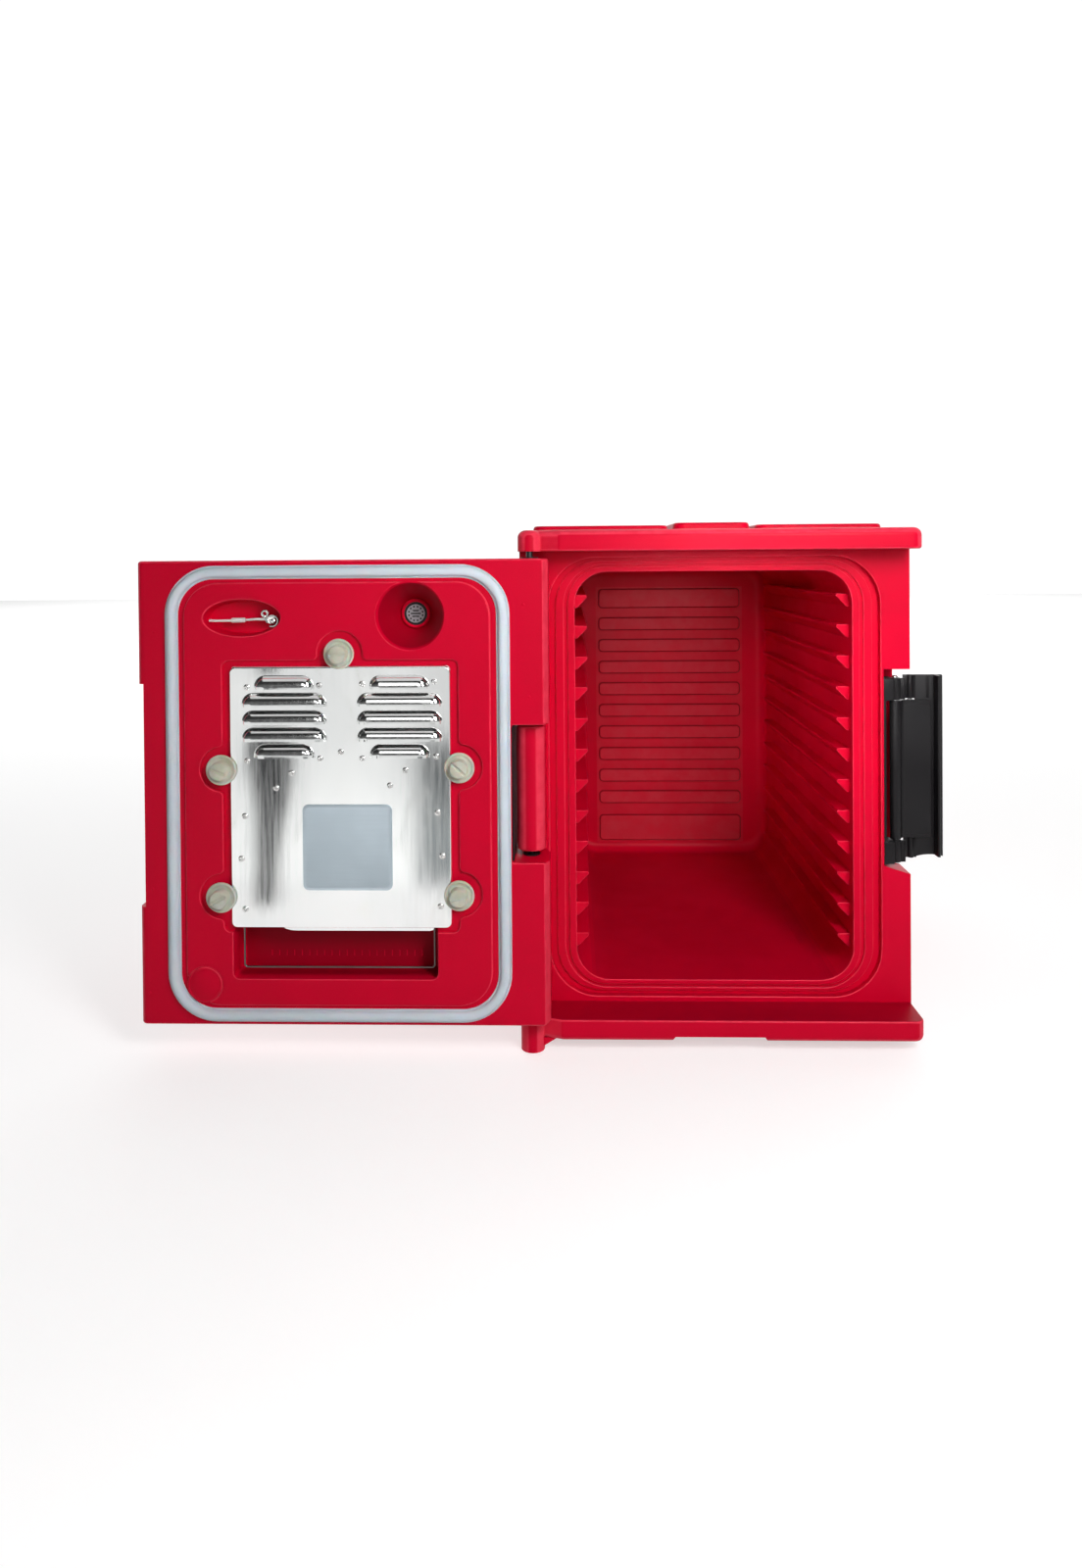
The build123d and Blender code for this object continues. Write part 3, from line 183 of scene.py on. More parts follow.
def bar_zone(m, base, dark, painted_sheen):
    """The back wall's bars: painted sheen on their flat faces, painted shade in the steps round them; also painted
    shade on the ledge and the cavity's floor.
    """
    g = m.t.nodes.new("ShaderNodeNewGeometry")
    turned_away = m.math("ABSOLUTE", m.xyz(g.outputs["True Normal"])[1])
    x, y, z = m.xyz()
    # painted shade: the ledge in front and the cavity's floor, low faces that point up, are painted darker than the
    # walls
    flat = m.math("MULTIPLY", m.ramp(m.xyz(g.outputs["True Normal"])[2], 0.80, 0.95), m.ramp(z, 0.10, 0.105, 1.0, 0.0))
    flat = m.math("MULTIPLY", flat, m.ramp(y, -0.002, 0.002, 0.52, 0.26))
    base = m.mix(m.math("MULTIPLY", flat, m.ramp(m.noise(24.0, 3.0, 0.6), 0.2, 0.8, 0.85, 1.0)), base, (0.10, 0.0004, 0.006))
    zone = m.ramp(m.math("ABSOLUTE", x), 0.1275, 0.1285, 1.0, 0.0)
    for lo, hi, a, b in ((0.0795, 0.081, 0.0, 1.0), (0.528, 0.5295, 1.0, 0.0)):
        zone = m.math("MULTIPLY", zone, m.ramp(z, lo, hi, a, b))
    # painted shade: the step walls round the bars are painted darker
    step = m.math("MULTIPLY", m.ramp(y, 0.5405, 0.5412), m.ramp(y, 0.5462, 0.5470, 1.0, 0.0))
    step = m.math("MULTIPLY", m.math("MULTIPLY", zone, step), m.ramp(turned_away, 0.90, 0.985, 0.72, 0.0))
    # painted sheen: the bars' flat faces are painted paler and pinker
    face = m.math("MULTIPLY", m.ramp(y, 0.5405, 0.5412), m.ramp(y, 0.5434, 0.5440, 1.0, 0.0))
    wall = m.math("MULTIPLY", m.ramp(y, 0.5440, 0.5444), m.ramp(y, 0.5462, 0.5470, 0.62, 0.0))
    face = m.math("MAXIMUM", face, wall)
    face = m.math("MULTIPLY", m.math("MULTIPLY", zone, face), m.ramp(m.noise(38.0, 3.0, 0.6), 0.25, 0.75, 0.55, 1.0))
    return m.mix(step, m.mix(face, base, painted_sheen), dark)


def painted_highlight_edges(m, base, pale, near):
    """Painted highlights: edges that face the front are painted paler; near is how deep (m) along Y they reach. Also
    painted shade in the vent's cone and the open well.
    """
    side = m.t.nodes.new("ShaderNodeTexCoord").outputs["Normal"]
    facing = m.math("ABSOLUTE", m.xyz(side)[1])
    edge = m.math("MULTIPLY", m.ramp(facing, 0.22, 0.42), m.ramp(facing, 0.90, 0.965, 1.0, 0.0))
    edge = m.math("MULTIPLY", edge, m.ramp(m.xyz()[1], near, near + 0.01, 1.0, 0.0))
    # the vent's cone gets no painted highlight; it is painted darker, painted shade, deeper towards its mouth's floor
    x, _, z = m.xyz()
    gap = [m.math("POWER", m.math("SUBTRACT", a, b), 2.0) for a, b in ((x, -0.357), (z, 0.5155))]
    far = m.math("SQRT", m.math("ADD", *gap))
    edge = m.math("MULTIPLY", edge, m.ramp(far, 0.0392, 0.0402))
    cone = m.math("MULTIPLY", m.ramp(far, 0.0375, 0.0395, 0.62, 0.0), m.ramp(m.xyz()[1], -0.0745, -0.0725))
    cone = m.math("MULTIPLY", cone, m.ramp(m.xyz()[1], -0.024, -0.020, 1.0, 0.0))
    base = m.mix(cone, base, (0.22, 0.0004, 0.006))
    # painted shade in the open well under the heater
    well = m.math("MULTIPLY", m.ramp(m.math("ABSOLUTE", m.math("ADD", x, 0.440)), 0.119, 0.123, 1.0, 0.0), m.ramp(z, 0.094, 0.098))
    well = m.math("MULTIPLY", well, m.ramp(z, 0.185, 0.19, 1.0, 0.0))
    well = m.math("MULTIPLY", well, m.math("MULTIPLY", m.ramp(m.xyz()[1], -0.0715, -0.060, 0.0, 0.66), m.ramp(m.xyz()[1], -0.036, -0.032, 1.0, 0.0)))
    base = m.mix(well, base, (0.20, 0.0004, 0.008))
    # painted highlight on the front-facing edges
    return m.mix(m.math("MULTIPLY", edge, m.ramp(m.noise(60.0, 3.0, 0.6), 0.2, 0.8, 0.55, 0.95)), base, pale)


def moulded(name, colour, deep, rough, grain=1.0, spec=0.3, scuff=0.5, wave=0.0010, bars=False, edges=None):
    """Rotomoulded or injection-moulded plastic: fine grain, slow waves, faint scuffs; with edges or bars set, also
    painted highlights and painted shade.
    """
    m = Tree(name)
    cloud = m.noise(7.0, 3.0, 0.55)
    fine = m.noise(900.0, 2.0, 0.6)
    speck = m.voronoi(1500.0)
    peel = m.noise(330.0, 2.0, 0.5)
    base = m.mix(m.ramp(cloud, 0.35, 0.7), colour, deep)
    base = m.mix(m.ramp(fine, 0.35, 0.75, 0.0, 0.14), base, tuple(min(1.0, c * 1.25 + 0.004) for c in colour))
    if edges is not None:
        # painted highlights on front-facing edges, painted shade in the vent's cone and the well
        base = painted_highlight_edges(m, base, (0.86, 0.050, 0.095), edges)
    if bars:
        # painted shade in the bars' steps and on the ledge and cavity floor, painted sheen on the bars' faces
        base = bar_zone(m, base, tuple(c * 0.30 for c in deep), (0.63, 0.034, 0.058))
    both = m.math("MAXIMUM", marks(m, 26.0, (1.0, 1.0, 9.0), 0.72, 0.4), marks(m, 31.0, (8.0, 1.0, 1.0), 0.73, 2.1))
    r = m.ramp(cloud, 0.3, 0.75, rough - 0.05, rough + 0.06)
    r = m.math("ADD", r, m.math("MULTIPLY", both, 0.10 * scuff))
    b = m.bump(m.noise(11.0, 1.5, 0.4), 0.45, wave)
    b = m.bump(peel, 0.35 * grain, 0.00022, b)
    b = m.bump(fine, 0.28 * grain, 0.00010, b)
    b = m.bump(speck, 0.10 * grain, 0.00008, b)
    return m.set(Base_Color=base, Roughness=r, Normal=b, Specular_IOR_Level=spec, IOR=1.5)


def metal(name, colour, dark, rough, brush=(1.0, 1.0, 1.0), brush_scale=60.0, wave=0.0004, smear=0.25, spread=0.10):
    """Bare metal: drawn lines, slow waves in the sheet, hand smears."""
    m = Tree(name)
    cloud = m.noise(9.0, 3.0, 0.6)
    lines = m.noise(brush_scale, 3.0, 0.65, m.scale(brush))
    smears = m.ramp(m.noise(16.0, 4.0, 0.65, m.scale((1.0, 1.0, 0.45), (0.3, 0.1, 0.7), (0, 0.5, 0)), 0.8), 0.50, 0.78)
    base = m.mix(m.ramp(cloud, 0.3, 0.75), colour, dark)
    base = m.mix(m.math("MULTIPLY", smears, smear), base, tuple(c * f for c, f in zip(dark, (0.92, 0.86, 0.78))))
    base = m.mix(m.ramp(lines, 0.4, 0.8, 0.0, 0.18), base, dark)
    r = m.ramp(lines, 0.3, 0.7, rough - 0.4 * spread, rough + 0.6 * spread)
    r = m.math("ADD", r, m.math("MULTIPLY", smears, 0.10))
    b = m.bump(m.noise(8.0, 1.0, 0.4), 0.5, wave)
    b = m.bump(lines, 0.12, 0.00003, b)
    return m.set(Base_Color=base, Roughness=r, Normal=b, Metallic=1.0)


MATS = {}
MATS["red_plastic"] = moulded("red_moulded", (0.66, 0.0004, 0.026), (0.60, 0.0004, 0.023), 0.36, 1.0, 0.055)
# red_cabinet and red_door carry painted highlights and painted shade; red_plastic has none
MATS["red_cabinet"] = moulded("red_cabinet", (0.66, 0.0004, 0.026), (0.60, 0.0004, 0.023), 0.36, 1.0, 0.055, bars=True, edges=0.02)
MATS["red_door"] = moulded("red_door", (0.66, 0.0004, 0.026), (0.60, 0.0004, 0.023), 0.36, 1.0, 0.055, edges=0.2)
MATS["black_nylon"] = moulded("black_moulded", (0.008, 0.007, 0.008), (0.013, 0.012, 0.013), 0.38, 0.6, 0.17, 0.7, 0.0004)
MATS["black_gloss"] = moulded("black_gloss", (0.010, 0.010, 0.011), (0.014, 0.014, 0.015), 0.16, 0.25, 0.5, 0.9, 0.0002)
MATS["grey_plastic"] = moulded("grey_moulded", (0.30, 0.31, 0.33), (0.25, 0.26, 0.28), 0.42, 0.8, 0.35, 0.5, 0.0003)
MATS["white_plastic"] = moulded("white_moulded", (0.82, 0.82, 0.79), (0.74, 0.74, 0.71), 0.38, 0.5, 0.4, 0.4, 0.0002)
MATS["dial_white"] = moulded("dial_enamel", (0.84, 0.84, 0.82), (0.80, 0.80, 0.77), 0.22, 0.2, 0.5, 0.3, 0.0001)
MATS["pointer_red"] = moulded("pointer_paint", (0.55, 0.012, 0.012), (0.48, 0.010, 0.010), 0.30, 0.4, 0.4, 0.4, 0.0001)
MATS["copper_wire"] = moulded("wire_jacket", (0.55, 0.08, 0.04), (0.45, 0.06, 0.03), 0.45, 0.6, 0.3, 0.4, 0.0002)
MATS["steel_sheet"] = metal("steel_mill", (0.94, 0.95, 0.94), (0.84, 0.855, 0.85), 0.11, (1.0, 1.0, 0.05), 240.0, 0.0004, 0.22, 0.06)
MATS["steel_bright"] = metal("steel_bright", (0.80, 0.80, 0.79), (0.66, 0.66, 0.65), 0.17, (1.0, 1.0, 0.2), 400.0, 0.0001, 0.2, 0.10)
MATS["steel_dull"] = metal("steel_dull", (0.48, 0.47, 0.45), (0.36, 0.35, 0.33), 0.36, (1.0, 1.0, 1.0), 300.0, 0.0001, 0.5, 0.12)
MATS["label_grey"] = metal("label_foil", (0.57, 0.66, 0.72), (0.50, 0.585, 0.64), 0.40, (0.04, 1.0, 1.0), 500.0, 0.0001, 0.12, 0.08)


def galvanised():
    m = Tree("galvanised")
    cell = m.voronoi(140.0, out="Color")
    g = m.xyz(cell)[0]
    edges = m.voronoi(140.0, "DISTANCE_TO_EDGE")
    base = m.mix(m.ramp(g, 0.0, 1.0, smooth=False), (0.50, 0.52, 0.54), (0.66, 0.68, 0.69))
    base = m.mix(m.ramp(m.noise(30.0, 4.0, 0.6), 0.55, 0.8, 0.0, 0.5), base, (0.40, 0.40, 0.39))
    r = m.ramp(g, 0.0, 1.0, 0.30, 0.48, False)
    b = m.bump(edges, 0.15, 0.0001)
    b = m.bump(m.noise(500.0, 2.0), 0.12, 0.00005, b)
    return m.set(Base_Color=base, Roughness=r, Normal=b, Metallic=1.0)


def foam():
    m = Tree("rigid_foam")
    cells = m.voronoi(700.0)
    base = m.mix(m.ramp(cells, 0.1, 0.6), (0.80, 0.68, 0.42), (0.93, 0.85, 0.62))
    base = m.mix(m.ramp(m.noise(12.0, 3.0), 0.4, 0.7, 0.0, 0.5), base, (0.84, 0.72, 0.46))
    b = m.bump(cells, 0.6, 0.0005)
    b = m.bump(m.noise(60.0, 3.0), 0.4, 0.001, b)
    return m.set(Base_Color=base, Roughness=0.9, Normal=b, Specular_IOR_Level=0.2)


def silicone():
    m = Tree("silicone_seal")
    cloud = m.noise(18.0, 3.0, 0.55)
    fine = m.noise(1300.0, 2.0, 0.6)
    dust = m.ramp(m.voronoi(260.0), 0.05, 0.11, 1.0, 0.0)
    base = m.mix(m.ramp(cloud, 0.35, 0.7), (0.66, 0.735, 0.80), (0.615, 0.685, 0.745))
    base = m.mix(m.math("MULTIPLY", dust, m.ramp(m.noise(40.0, 2.0), 0.55, 0.7, 0.0, 0.35)), base, (0.75, 0.78, 0.80))
    r = m.ramp(cloud, 0.3, 0.75, 0.36, 0.50)
    b = m.bump(m.noise(45.0, 2.0, 0.5), 0.25, 0.0003)
    b = m.bump(fine, 0.2, 0.00006, b)
    return m.set(Base_Color=base, Roughness=r, Normal=b, Specular_IOR_Level=0.35,
                 Subsurface_Weight=0.15, Subsurface_Scale=0.004)


def nylon():
    m = Tree("natural_nylon")
    cloud = m.noise(55.0, 3.0, 0.6)
    swirl = m.noise(120.0, 3.0, 0.6, m.scale((1.0, 3.0, 1.0)), 1.5)
    base = m.mix(m.ramp(cloud, 0.35, 0.7), (0.60, 0.61, 0.52), (0.52, 0.52, 0.42))
    base = m.mix(m.ramp(swirl, 0.45, 0.75, 0.0, 0.45), base, (0.68, 0.68, 0.60))
    r = m.ramp(cloud, 0.3, 0.75, 0.30, 0.42)
    b = m.bump(m.noise(700.0, 2.0, 0.6), 0.2, 0.00006)
    b = m.bump(m.noise(90.0, 2.0, 0.5), 0.3, 0.0002, b)
    return m.set(Base_Color=base, Roughness=r, Normal=b, Specular_IOR_Level=0.42,
                 Subsurface_Weight=0.35, Subsurface_Scale=0.006)


def glass(name, colour, rough):
    m = Tree(name)
    smear = m.ramp(m.noise(40.0, 3.0, 0.6), 0.5, 0.8)
    base = m.mix(m.math("MULTIPLY", smear, 0.3), colour, tuple(c * 0.96 for c in colour))
    r = m.ramp(smear, 0.0, 1.0, rough, rough + 0.08)
    b = m.bump(m.noise(30.0, 1.0), 0.1, 0.0001)
    return m.set(Base_Color=base, Roughness=r, Normal=b, Transmission_Weight=1.0, IOR=1.45)


MATS["galvanised"] = galvanised()
MATS["foam"] = foam()
MATS["silicone_grey"] = silicone()
MATS["natural_nylon"] = nylon()
MATS["clear_glass"] = glass("clear_glass", (0.97, 0.99, 0.99), 0.02)
MATS["lamp_amber"] = glass("lamp_amber", (0.95, 0.40, 0.04), 0.12)

SLOT_OF = {s["node"]: s["material_slot"] for s in frame["record"]["subparts"]}
# the hinge rod takes black gloss in place of steel, and the bushes black nylon, so that the gaps at the hinge ears read
# dark: painted shade
for node, obj in NODES.items():
    obj.data.materials.clear()
    obj.data.materials.append(MATS[{"cabinet_shell": "red_cabinet", "door_shell": "red_door", "hinge_bushes": "black_nylon", "hinge_rod": "black_gloss"}.get(node, SLOT_OF[node])])


# ------------------------------------------------------------------ mesh helpers
def shown(name, bm, mat, body, sharp=38.0, instead=()):
    """Turns a bmesh into a piece that rides on a body."""
    me = bpy.data.meshes.new(name)
    bmesh.ops.recalc_face_normals(bm, faces=bm.faces)
    bm.to_mesh(me)
    bm.free()
    me.polygons.foreach_set("use_smooth", [True] * len(me.polygons))
    me.set_sharp_from_angle(angle=math.radians(sharp))
    o = bpy.data.objects.new(name, me)
    me.materials.append(mat)
    COLL.objects.link(o)
    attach(o, body)
    if instead:
        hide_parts(*instead)
    return o


def skin(bm, rings, close_ring=True, cap_first=False, cap_last=False):
    """Joins successive rings of points (mm) with quads."""
    vs = [[bm.verts.new(Vector(p) * MM) for p in ring] for ring in rings]
    n = len(rings[0])
    last = n if close_ring else n - 1
    for a, b in zip(vs, vs[1:]):
        for i in range(last):
            j = (i + 1) % n
            bm.faces.new((a[i], a[j], b[j], b[i]))
    if cap_first:
        bm.faces.new(vs[0])
    if cap_last:
        bm.faces.new(list(reversed(vs[-1])))
    return vs


def turned(bm, profile, centre, seg=40, squash=None):
    """Revolves (radius, y) points about a line through centre (x, z) along Y.
    squash(radius, y, angle) may return a changed radius and y."""
    cx, cz = centre
    rings = []
    for r, y in profile:
        ring = []
        for k in range(seg):
            a = 2 * math.pi * k / seg
            rr, yy = (r, y) if squash is None else squash(r, y, a)
            ring.append((cx + rr * math.cos(a), yy, cz + rr * math.sin(a)))
        rings.append(ring)
    vs = skin(bm, rings)
    for ring, (r, y) in ((vs[0], profile[0]), (vs[-1], profile[-1])):
        if r <= 0.25:
            bm.faces.new(ring)
    return vs


def rounded_rect(hw, hh, r, seg=10):
    """Points of a rounded rectangle round the origin, counter-clockwise."""
    pts = []
    for cx, cz, a0 in ((hw - r, hh - r, 0), (-hw + r, hh - r, 90), (-hw + r, -hh + r, 180), (hw - r, -hh + r, 270)):
        for k in range(seg + 1):
            a = math.radians(a0 + 90 * k / seg)
            pts.append((cx + r * math.cos(a), cz + r * math.sin(a)))
    return pts


def bevelled_prism(bm, outline, lo, hi, axis, width, seg=3):
    """An outline (mm) drawn out along an axis, with its edges rounded."""
    new = bmesh.new()
    def at_(p, t):
        u, v = p
        return Vector({"x": (t, u, v), "y": (u, t, v), "z": (u, v, t)}[axis]) * MM
    a = [new.verts.new(at_(p, lo)) for p in outline]
    b = [new.verts.new(at_(p, hi)) for p in outline]
    n = len(outline)
    new.faces.new(a)
    new.faces.new(list(reversed(b)))
    for i in range(n):
        new.faces.new((a[i], a[(i + 1) % n], b[(i + 1) % n], b[i]))
    bmesh.ops.recalc_face_normals(new, faces=new.faces)
    if width:
        new.edges.ensure_lookup_table()
        edges = [e for e in new.edges if e.calc_face_angle(0) > math.radians(25)]
        bmesh.ops.bevel(new, geom=edges, offset=width * MM, segments=seg, profile=0.5, affect="EDGES", clamp_overlap=True)
    me = bpy.data.meshes.new("tmp")
    new.to_mesh(me)
    new.free()
    bm.from_mesh(me)
    bpy.data.meshes.remove(me)


def tube(bm, path, radius, seg=14, taper=None, cap=True):
    """A round tube along points (mm), with parallel-carried frames."""
    pts = [Vector(p) for p in path]
    tans = []
    for i in range(len(pts)):
        a = pts[max(0, i - 1)]
        b = pts[min(len(pts) - 1, i + 1)]
        tans.append((b - a).normalized())
    up = Vector((0, 0, 1)) if abs(tans[0].z) < 0.9 else Vector((1, 0, 0))
    side = tans[0].cross(up).normalized()
    rings = []
    for i, (p, t) in enumerate(zip(pts, tans)):
        side = (side - t * side.dot(t)).normalized()
        up = side.cross(t)
        r = radius if taper is None else taper(i / (len(pts) - 1)) * radius
        rings.append([tuple(p + side * (r * math.cos(2 * math.pi * k / seg)) + up * (r * math.sin(2 * math.pi * k / seg))) for k in range(seg)])
    skin(bm, rings, cap_first=cap, cap_last=cap)


def smooth_path(points, per=8):
    """Catmull-Rom points through the given ones."""
    p = [Vector(q) for q in points]
    p = [2 * p[0] - p[1]] + p + [2 * p[-1] - p[-2]]
    out = []
    for i in range(1, len(p) - 2):
        for k in range(per):
            t = k / per
            a, b, c, d = p[i - 1], p[i], p[i + 1], p[i + 2]
            out.append(0.5 * ((2 * b) + (c - a) * t + (2 * a - 5 * b + 4 * c - d) * t * t + (3 * b - a - 3 * c + d) * t ** 3))
    out.append(p[-2])
    return out


# ------------------------------------------------------------------ the door's seal
DOOR_X = -442.0
def make_gasket():
    hw, z0, z1, r, w = 199.0, 47.5, 574.0, 57.0, 15.5
    hh, cz = (z1 - z0) / 2, (z0 + z1) / 2
    # across: from the outer lip over the bulb to the inner lip (offset inwards, y)
    half = [(0.0, -71.2), (0.0, -75.6), (0.35, -76.25), (1.0, -76.3), (1.45, -75.9), (1.7, -75.2), (1.95, -75.6)]
    bulb = []
    for k in range(17):
        a = math.pi * k / 16
        bulb.append((w / 2 - (w / 2 - 2.1) * math.cos(a), -76.0 - 5.9 * math.sin(a) ** 0.72))
    prof = half + bulb + [(w - o, y) for o, y in reversed(half)]
    rings = []
    for off, y in prof:
        rings.append([(DOOR_X + x, y, cz + z) for x, z in rounded_rect(hw - off, hh - off, r - off, 14)])
    bm = bmesh.new()
    skin(bm, rings)
    shown("seal", bm, MATS["silicone_grey"], "door", 50, ("door_gasket",))


make_gasket()


# ------------------------------------------------------------------ louvred steel cover
PLATE = (-565.0, -311.5, 158.0, 458.0)
FACE, BACK = -80.0, -75.9
LOUVRES = [(cx, z, w) for cx in (-502.0, -369.3) for z, w in ((439.5, 68.0), (419.7, 97.0), (399.6, 97.0), (380.0, 97.0), (361.0, 68.0))]
RISE = 7.0


def louvre_rings(cx, cz, w):
    """A hood that rises from an arch-shaped line to its free lower edge."""
    a, h, rc = w / 2, 14.6, 12.6
    base = cz - h / 2
    steps = [(-1.5, 0.0), (-0.9, 0.0), (-0.45, 0.012), (0.0, 0.045), (0.4, 0.11), (0.8, 0.20), (1.3, 0.32), (1.9, 0.44), (2.7, 0.565), (3.6, 0.675),
             (4.7, 0.775), (6.0, 0.86), (7.6, 0.925), (9.4, 0.965), (11.4, 0.99), (12.5, 1.0)]
    rings = []
    for d, k in steps:
        half, top, r = a - d, h - d, max(rc - d, 0.05)
        ring = []
        foot = 0.0
        for i in range(13):
            t = math.radians(180 - 90 * i / 12)
            ring.append((cx - half + r + r * math.cos(t), FACE - RISE * k, base + max(foot, top - r + r * math.sin(t))))
        for i in range(13):
            t = math.radians(90 - 90 * i / 12)
            ring.append((cx + half - r + r * math.cos(t), FACE - RISE * k, base + max(foot, top - r + r * math.sin(t))))
        # down to the straight foot
        first, last = ring[0], ring[-1]
        ring = [(first[0], first[1], base)] + ring + [(last[0], last[1], base)]
        rings.append(ring)
    closing = [(p[0], FACE - RISE * 1.005, base) for p in rings[-1]]
    rings.append(closing)
    return rings


def make_cover():
    bm = bmesh.new()
    px, pz = (PLATE[0] + PLATE[1]) / 2, (PLATE[2] + PLATE[3]) / 2
    hw, hh = (PLATE[1] - PLATE[0]) / 2, (PLATE[3] - PLATE[2]) / 2
    edge = 1.5
    flat = [(px + x, FACE, pz + z) for x, z in rounded_rect(hw - edge - 0.8, hh - edge - 0.8, 5.7 - edge, 8)]
    holes = []
    for cx, cz, w in LOUVRES:
        rings = louvre_rings(cx, cz, w)
        holes.append((rings[0], rings))
    loops = [[Vector((p[0], p[2], 0)) for p in flat]] + [[Vector((p[0], p[2], 0)) for p in h[0]] for h in holes]
    tris = tessellate_polygon(loops)
    every = [p for p in flat] + [p for h in holes for p in h[0]]
    vs = [bm.verts.new(Vector(p) * MM) for p in every]
    for t in tris:
        try:
            bm.faces.new([vs[i] for i in t])
        except ValueError:
            pass
    # rounded bend and folded-back rim
    rings = [flat]
    for k in range(6):
        a = math.radians(90 * k / 5)
        rings.append([(px + x, FACE + edge - edge * math.cos(a), pz + z) for x, z in
                      rounded_rect(hw - edge + edge * math.sin(a), hh - edge + edge * math.sin(a), 6.5 - edge + edge * math.sin(a), 8)])
    rings.append([(px + x, BACK, pz + z) for x, z in rounded_rect(hw, hh, 6.5, 8)])
    rings.append([(px + x, BACK, pz + z) for x, z in rounded_rect(hw - 1.2, hh - 1.2, 5.3, 8)])
    rings.append([(px + x, FACE + 1.2, pz + z) for x, z in rounded_rect(hw - 1.2, hh - 1.2, 5.3, 8)])
    skin(bm, rings)
    # the sheet's back face
    lo = [bm.verts.new((Vector(p) + Vector((0, 1.2, 0))) * MM) for p in every]
    for t in tris:
        try:
            bm.faces.new([lo[i] for i in reversed(t)])
        except ValueError:
            pass
    # hoods, outside and inside, joined along the free edge
    for _, rings in holes:
        skin(bm, rings, close_ring=False)
        inner = [[(p[0], min(p[1] + 1.1, FACE + 1.2), p[2]) for p in ring] for ring in rings]
        skin(bm, inner, close_ring=False)
        for a, b in zip(rings, rings[1:]):
            for i in (0, -1):
                q = [a[i], b[i], b[i], a[i]]
                pts = [Vector(a[i]), Vector(b[i]), Vector((b[i][0], min(b[i][1] + 1.1, FACE + 1.2), b[i][2])), Vector((a[i][0], min(a[i][1] + 1.1, FACE + 1.2), a[i][2]))]
                bm.faces.new([bm.verts.new(p * MM) for p in pts])
        last = rings[-1]
        for i in range(len(last) - 1):
            p, q = Vector(last[i]), Vector(last[i + 1])
            if (p - q).length > 0.02:
                bm.faces.new([bm.verts.new(v * MM) for v in (p, q, q + Vector((0, 1.1, 0)), p + Vector((0, 1.1, 0)))])
    bmesh.ops.remove_doubles(bm, verts=bm.verts, dist=1e-6)
    bmesh.ops.dissolve_degenerate(bm, edges=bm.edges, dist=1e-7)
    return shown("louvred_cover", bm, MATS["steel_sheet"], "door", 30, ("heater_cover",))


make_cover()


def make_return_flange():
    """The box's folded lower edge that shows under the cover."""
    bm = bmesh.new()
    outline = [(-507.0, 158.6), (-503.5, 156.2), (-497.0, 154.4), (-490.0, 153.9), (-336.5, 153.9), (-333.0, 154.8), (-331.5, 158.6)]
    bevelled_prism(bm, outline, -77.6, -76.4, "y", 0.35, 2)
    shown("cover_return", bm, MATS["steel_sheet"], "door", 35)


make_return_flange()

# ------------------------------------------------------------------ nylon cup washers and slotted screws
KNOBS = [(-438.0, 472.5), (-574.8, 340.0), (-301.2, 342.0), (-576.2, 193.5), (-302.4, 196.0)]
KNOB_TURN = [8, -22, -40, 28, 15]


def make_knobs():
    cups, heads = bmesh.new(), bmesh.new()
    for (x, z), turn in zip(KNOBS, KNOB_TURN):
        cup = [(5.1, -74.6), (8.8, -74.6), (8.9, -79.6), (9.4, -80.2), (15.8, -80.3), (16.7, -80.6), (17.3, -81.3), (17.5, -82.3), (17.35, -83.3), (16.9, -84.0),
               (16.3, -84.35), (15.6, -84.3), (15.0, -83.95), (14.5, -83.3), (13.9, -82.8), (13.0, -82.5), (11.6, -82.4), (10.7, -82.4)]
        turned(cups, cup, (x, z), 56)
        c, s = math.cos(math.radians(turn)), math.sin(math.radians(turn))

        def slot(r, y, a, c=c, s=s):
            # a straight slot across the head's top
            if y > -93.2:
                return r, y
            off = abs(-s * math.cos(a) + c * math.sin(a)) * r
            depth = 2.1 * max(0.0, min(1.0, (1.75 - off) / 0.5))
            return r, y + depth

        head = [(10.9, -82.3), (10.6, -83.2), (10.5, -84.4), (10.45, -88.0), (10.4, -91.4), (10.2, -92.4), (9.8, -93.1)]
        dense = [9.3, 8.8, 8.2, 7.6, 7.0, 6.4, 5.8, 5.2, 4.6, 4.0, 3.4, 2.8, 2.2, 1.7, 1.2, 0.8, 0.4, 0.1]
        head += [(r, -93.55 - 0.95 * (1 - (r / 9.8) ** 2) ** 0.8 * 0.9) for r in dense]
        turned(heads, head, (x, z), 96, slot)
    shown("cup_washers", cups, MATS["natural_nylon"], "door", 50, ("nylon_washers",))
    shown("slotted_heads", heads, MATS["natural_nylon"], "door", 32, ("nylon_screws",))


make_knobs()

# ------------------------------------------------------------------ small screws of the cover
COVER_SCREWS = [(-545, 434.5), (-461.5, 436.5), (-412, 438), (-329.5, 440), (-545, 350), (-461, 352.5), (-412.5, 352.5), (-327.5, 355),
                (-437, 360), (-494, 336), (-512, 319), (-363, 339), (-381, 321.5), (-548.5, 286.5), (-326.5, 290.5), (-553, 237.5), (-321.5, 241), (-549, 179.5), (-324, 183)]


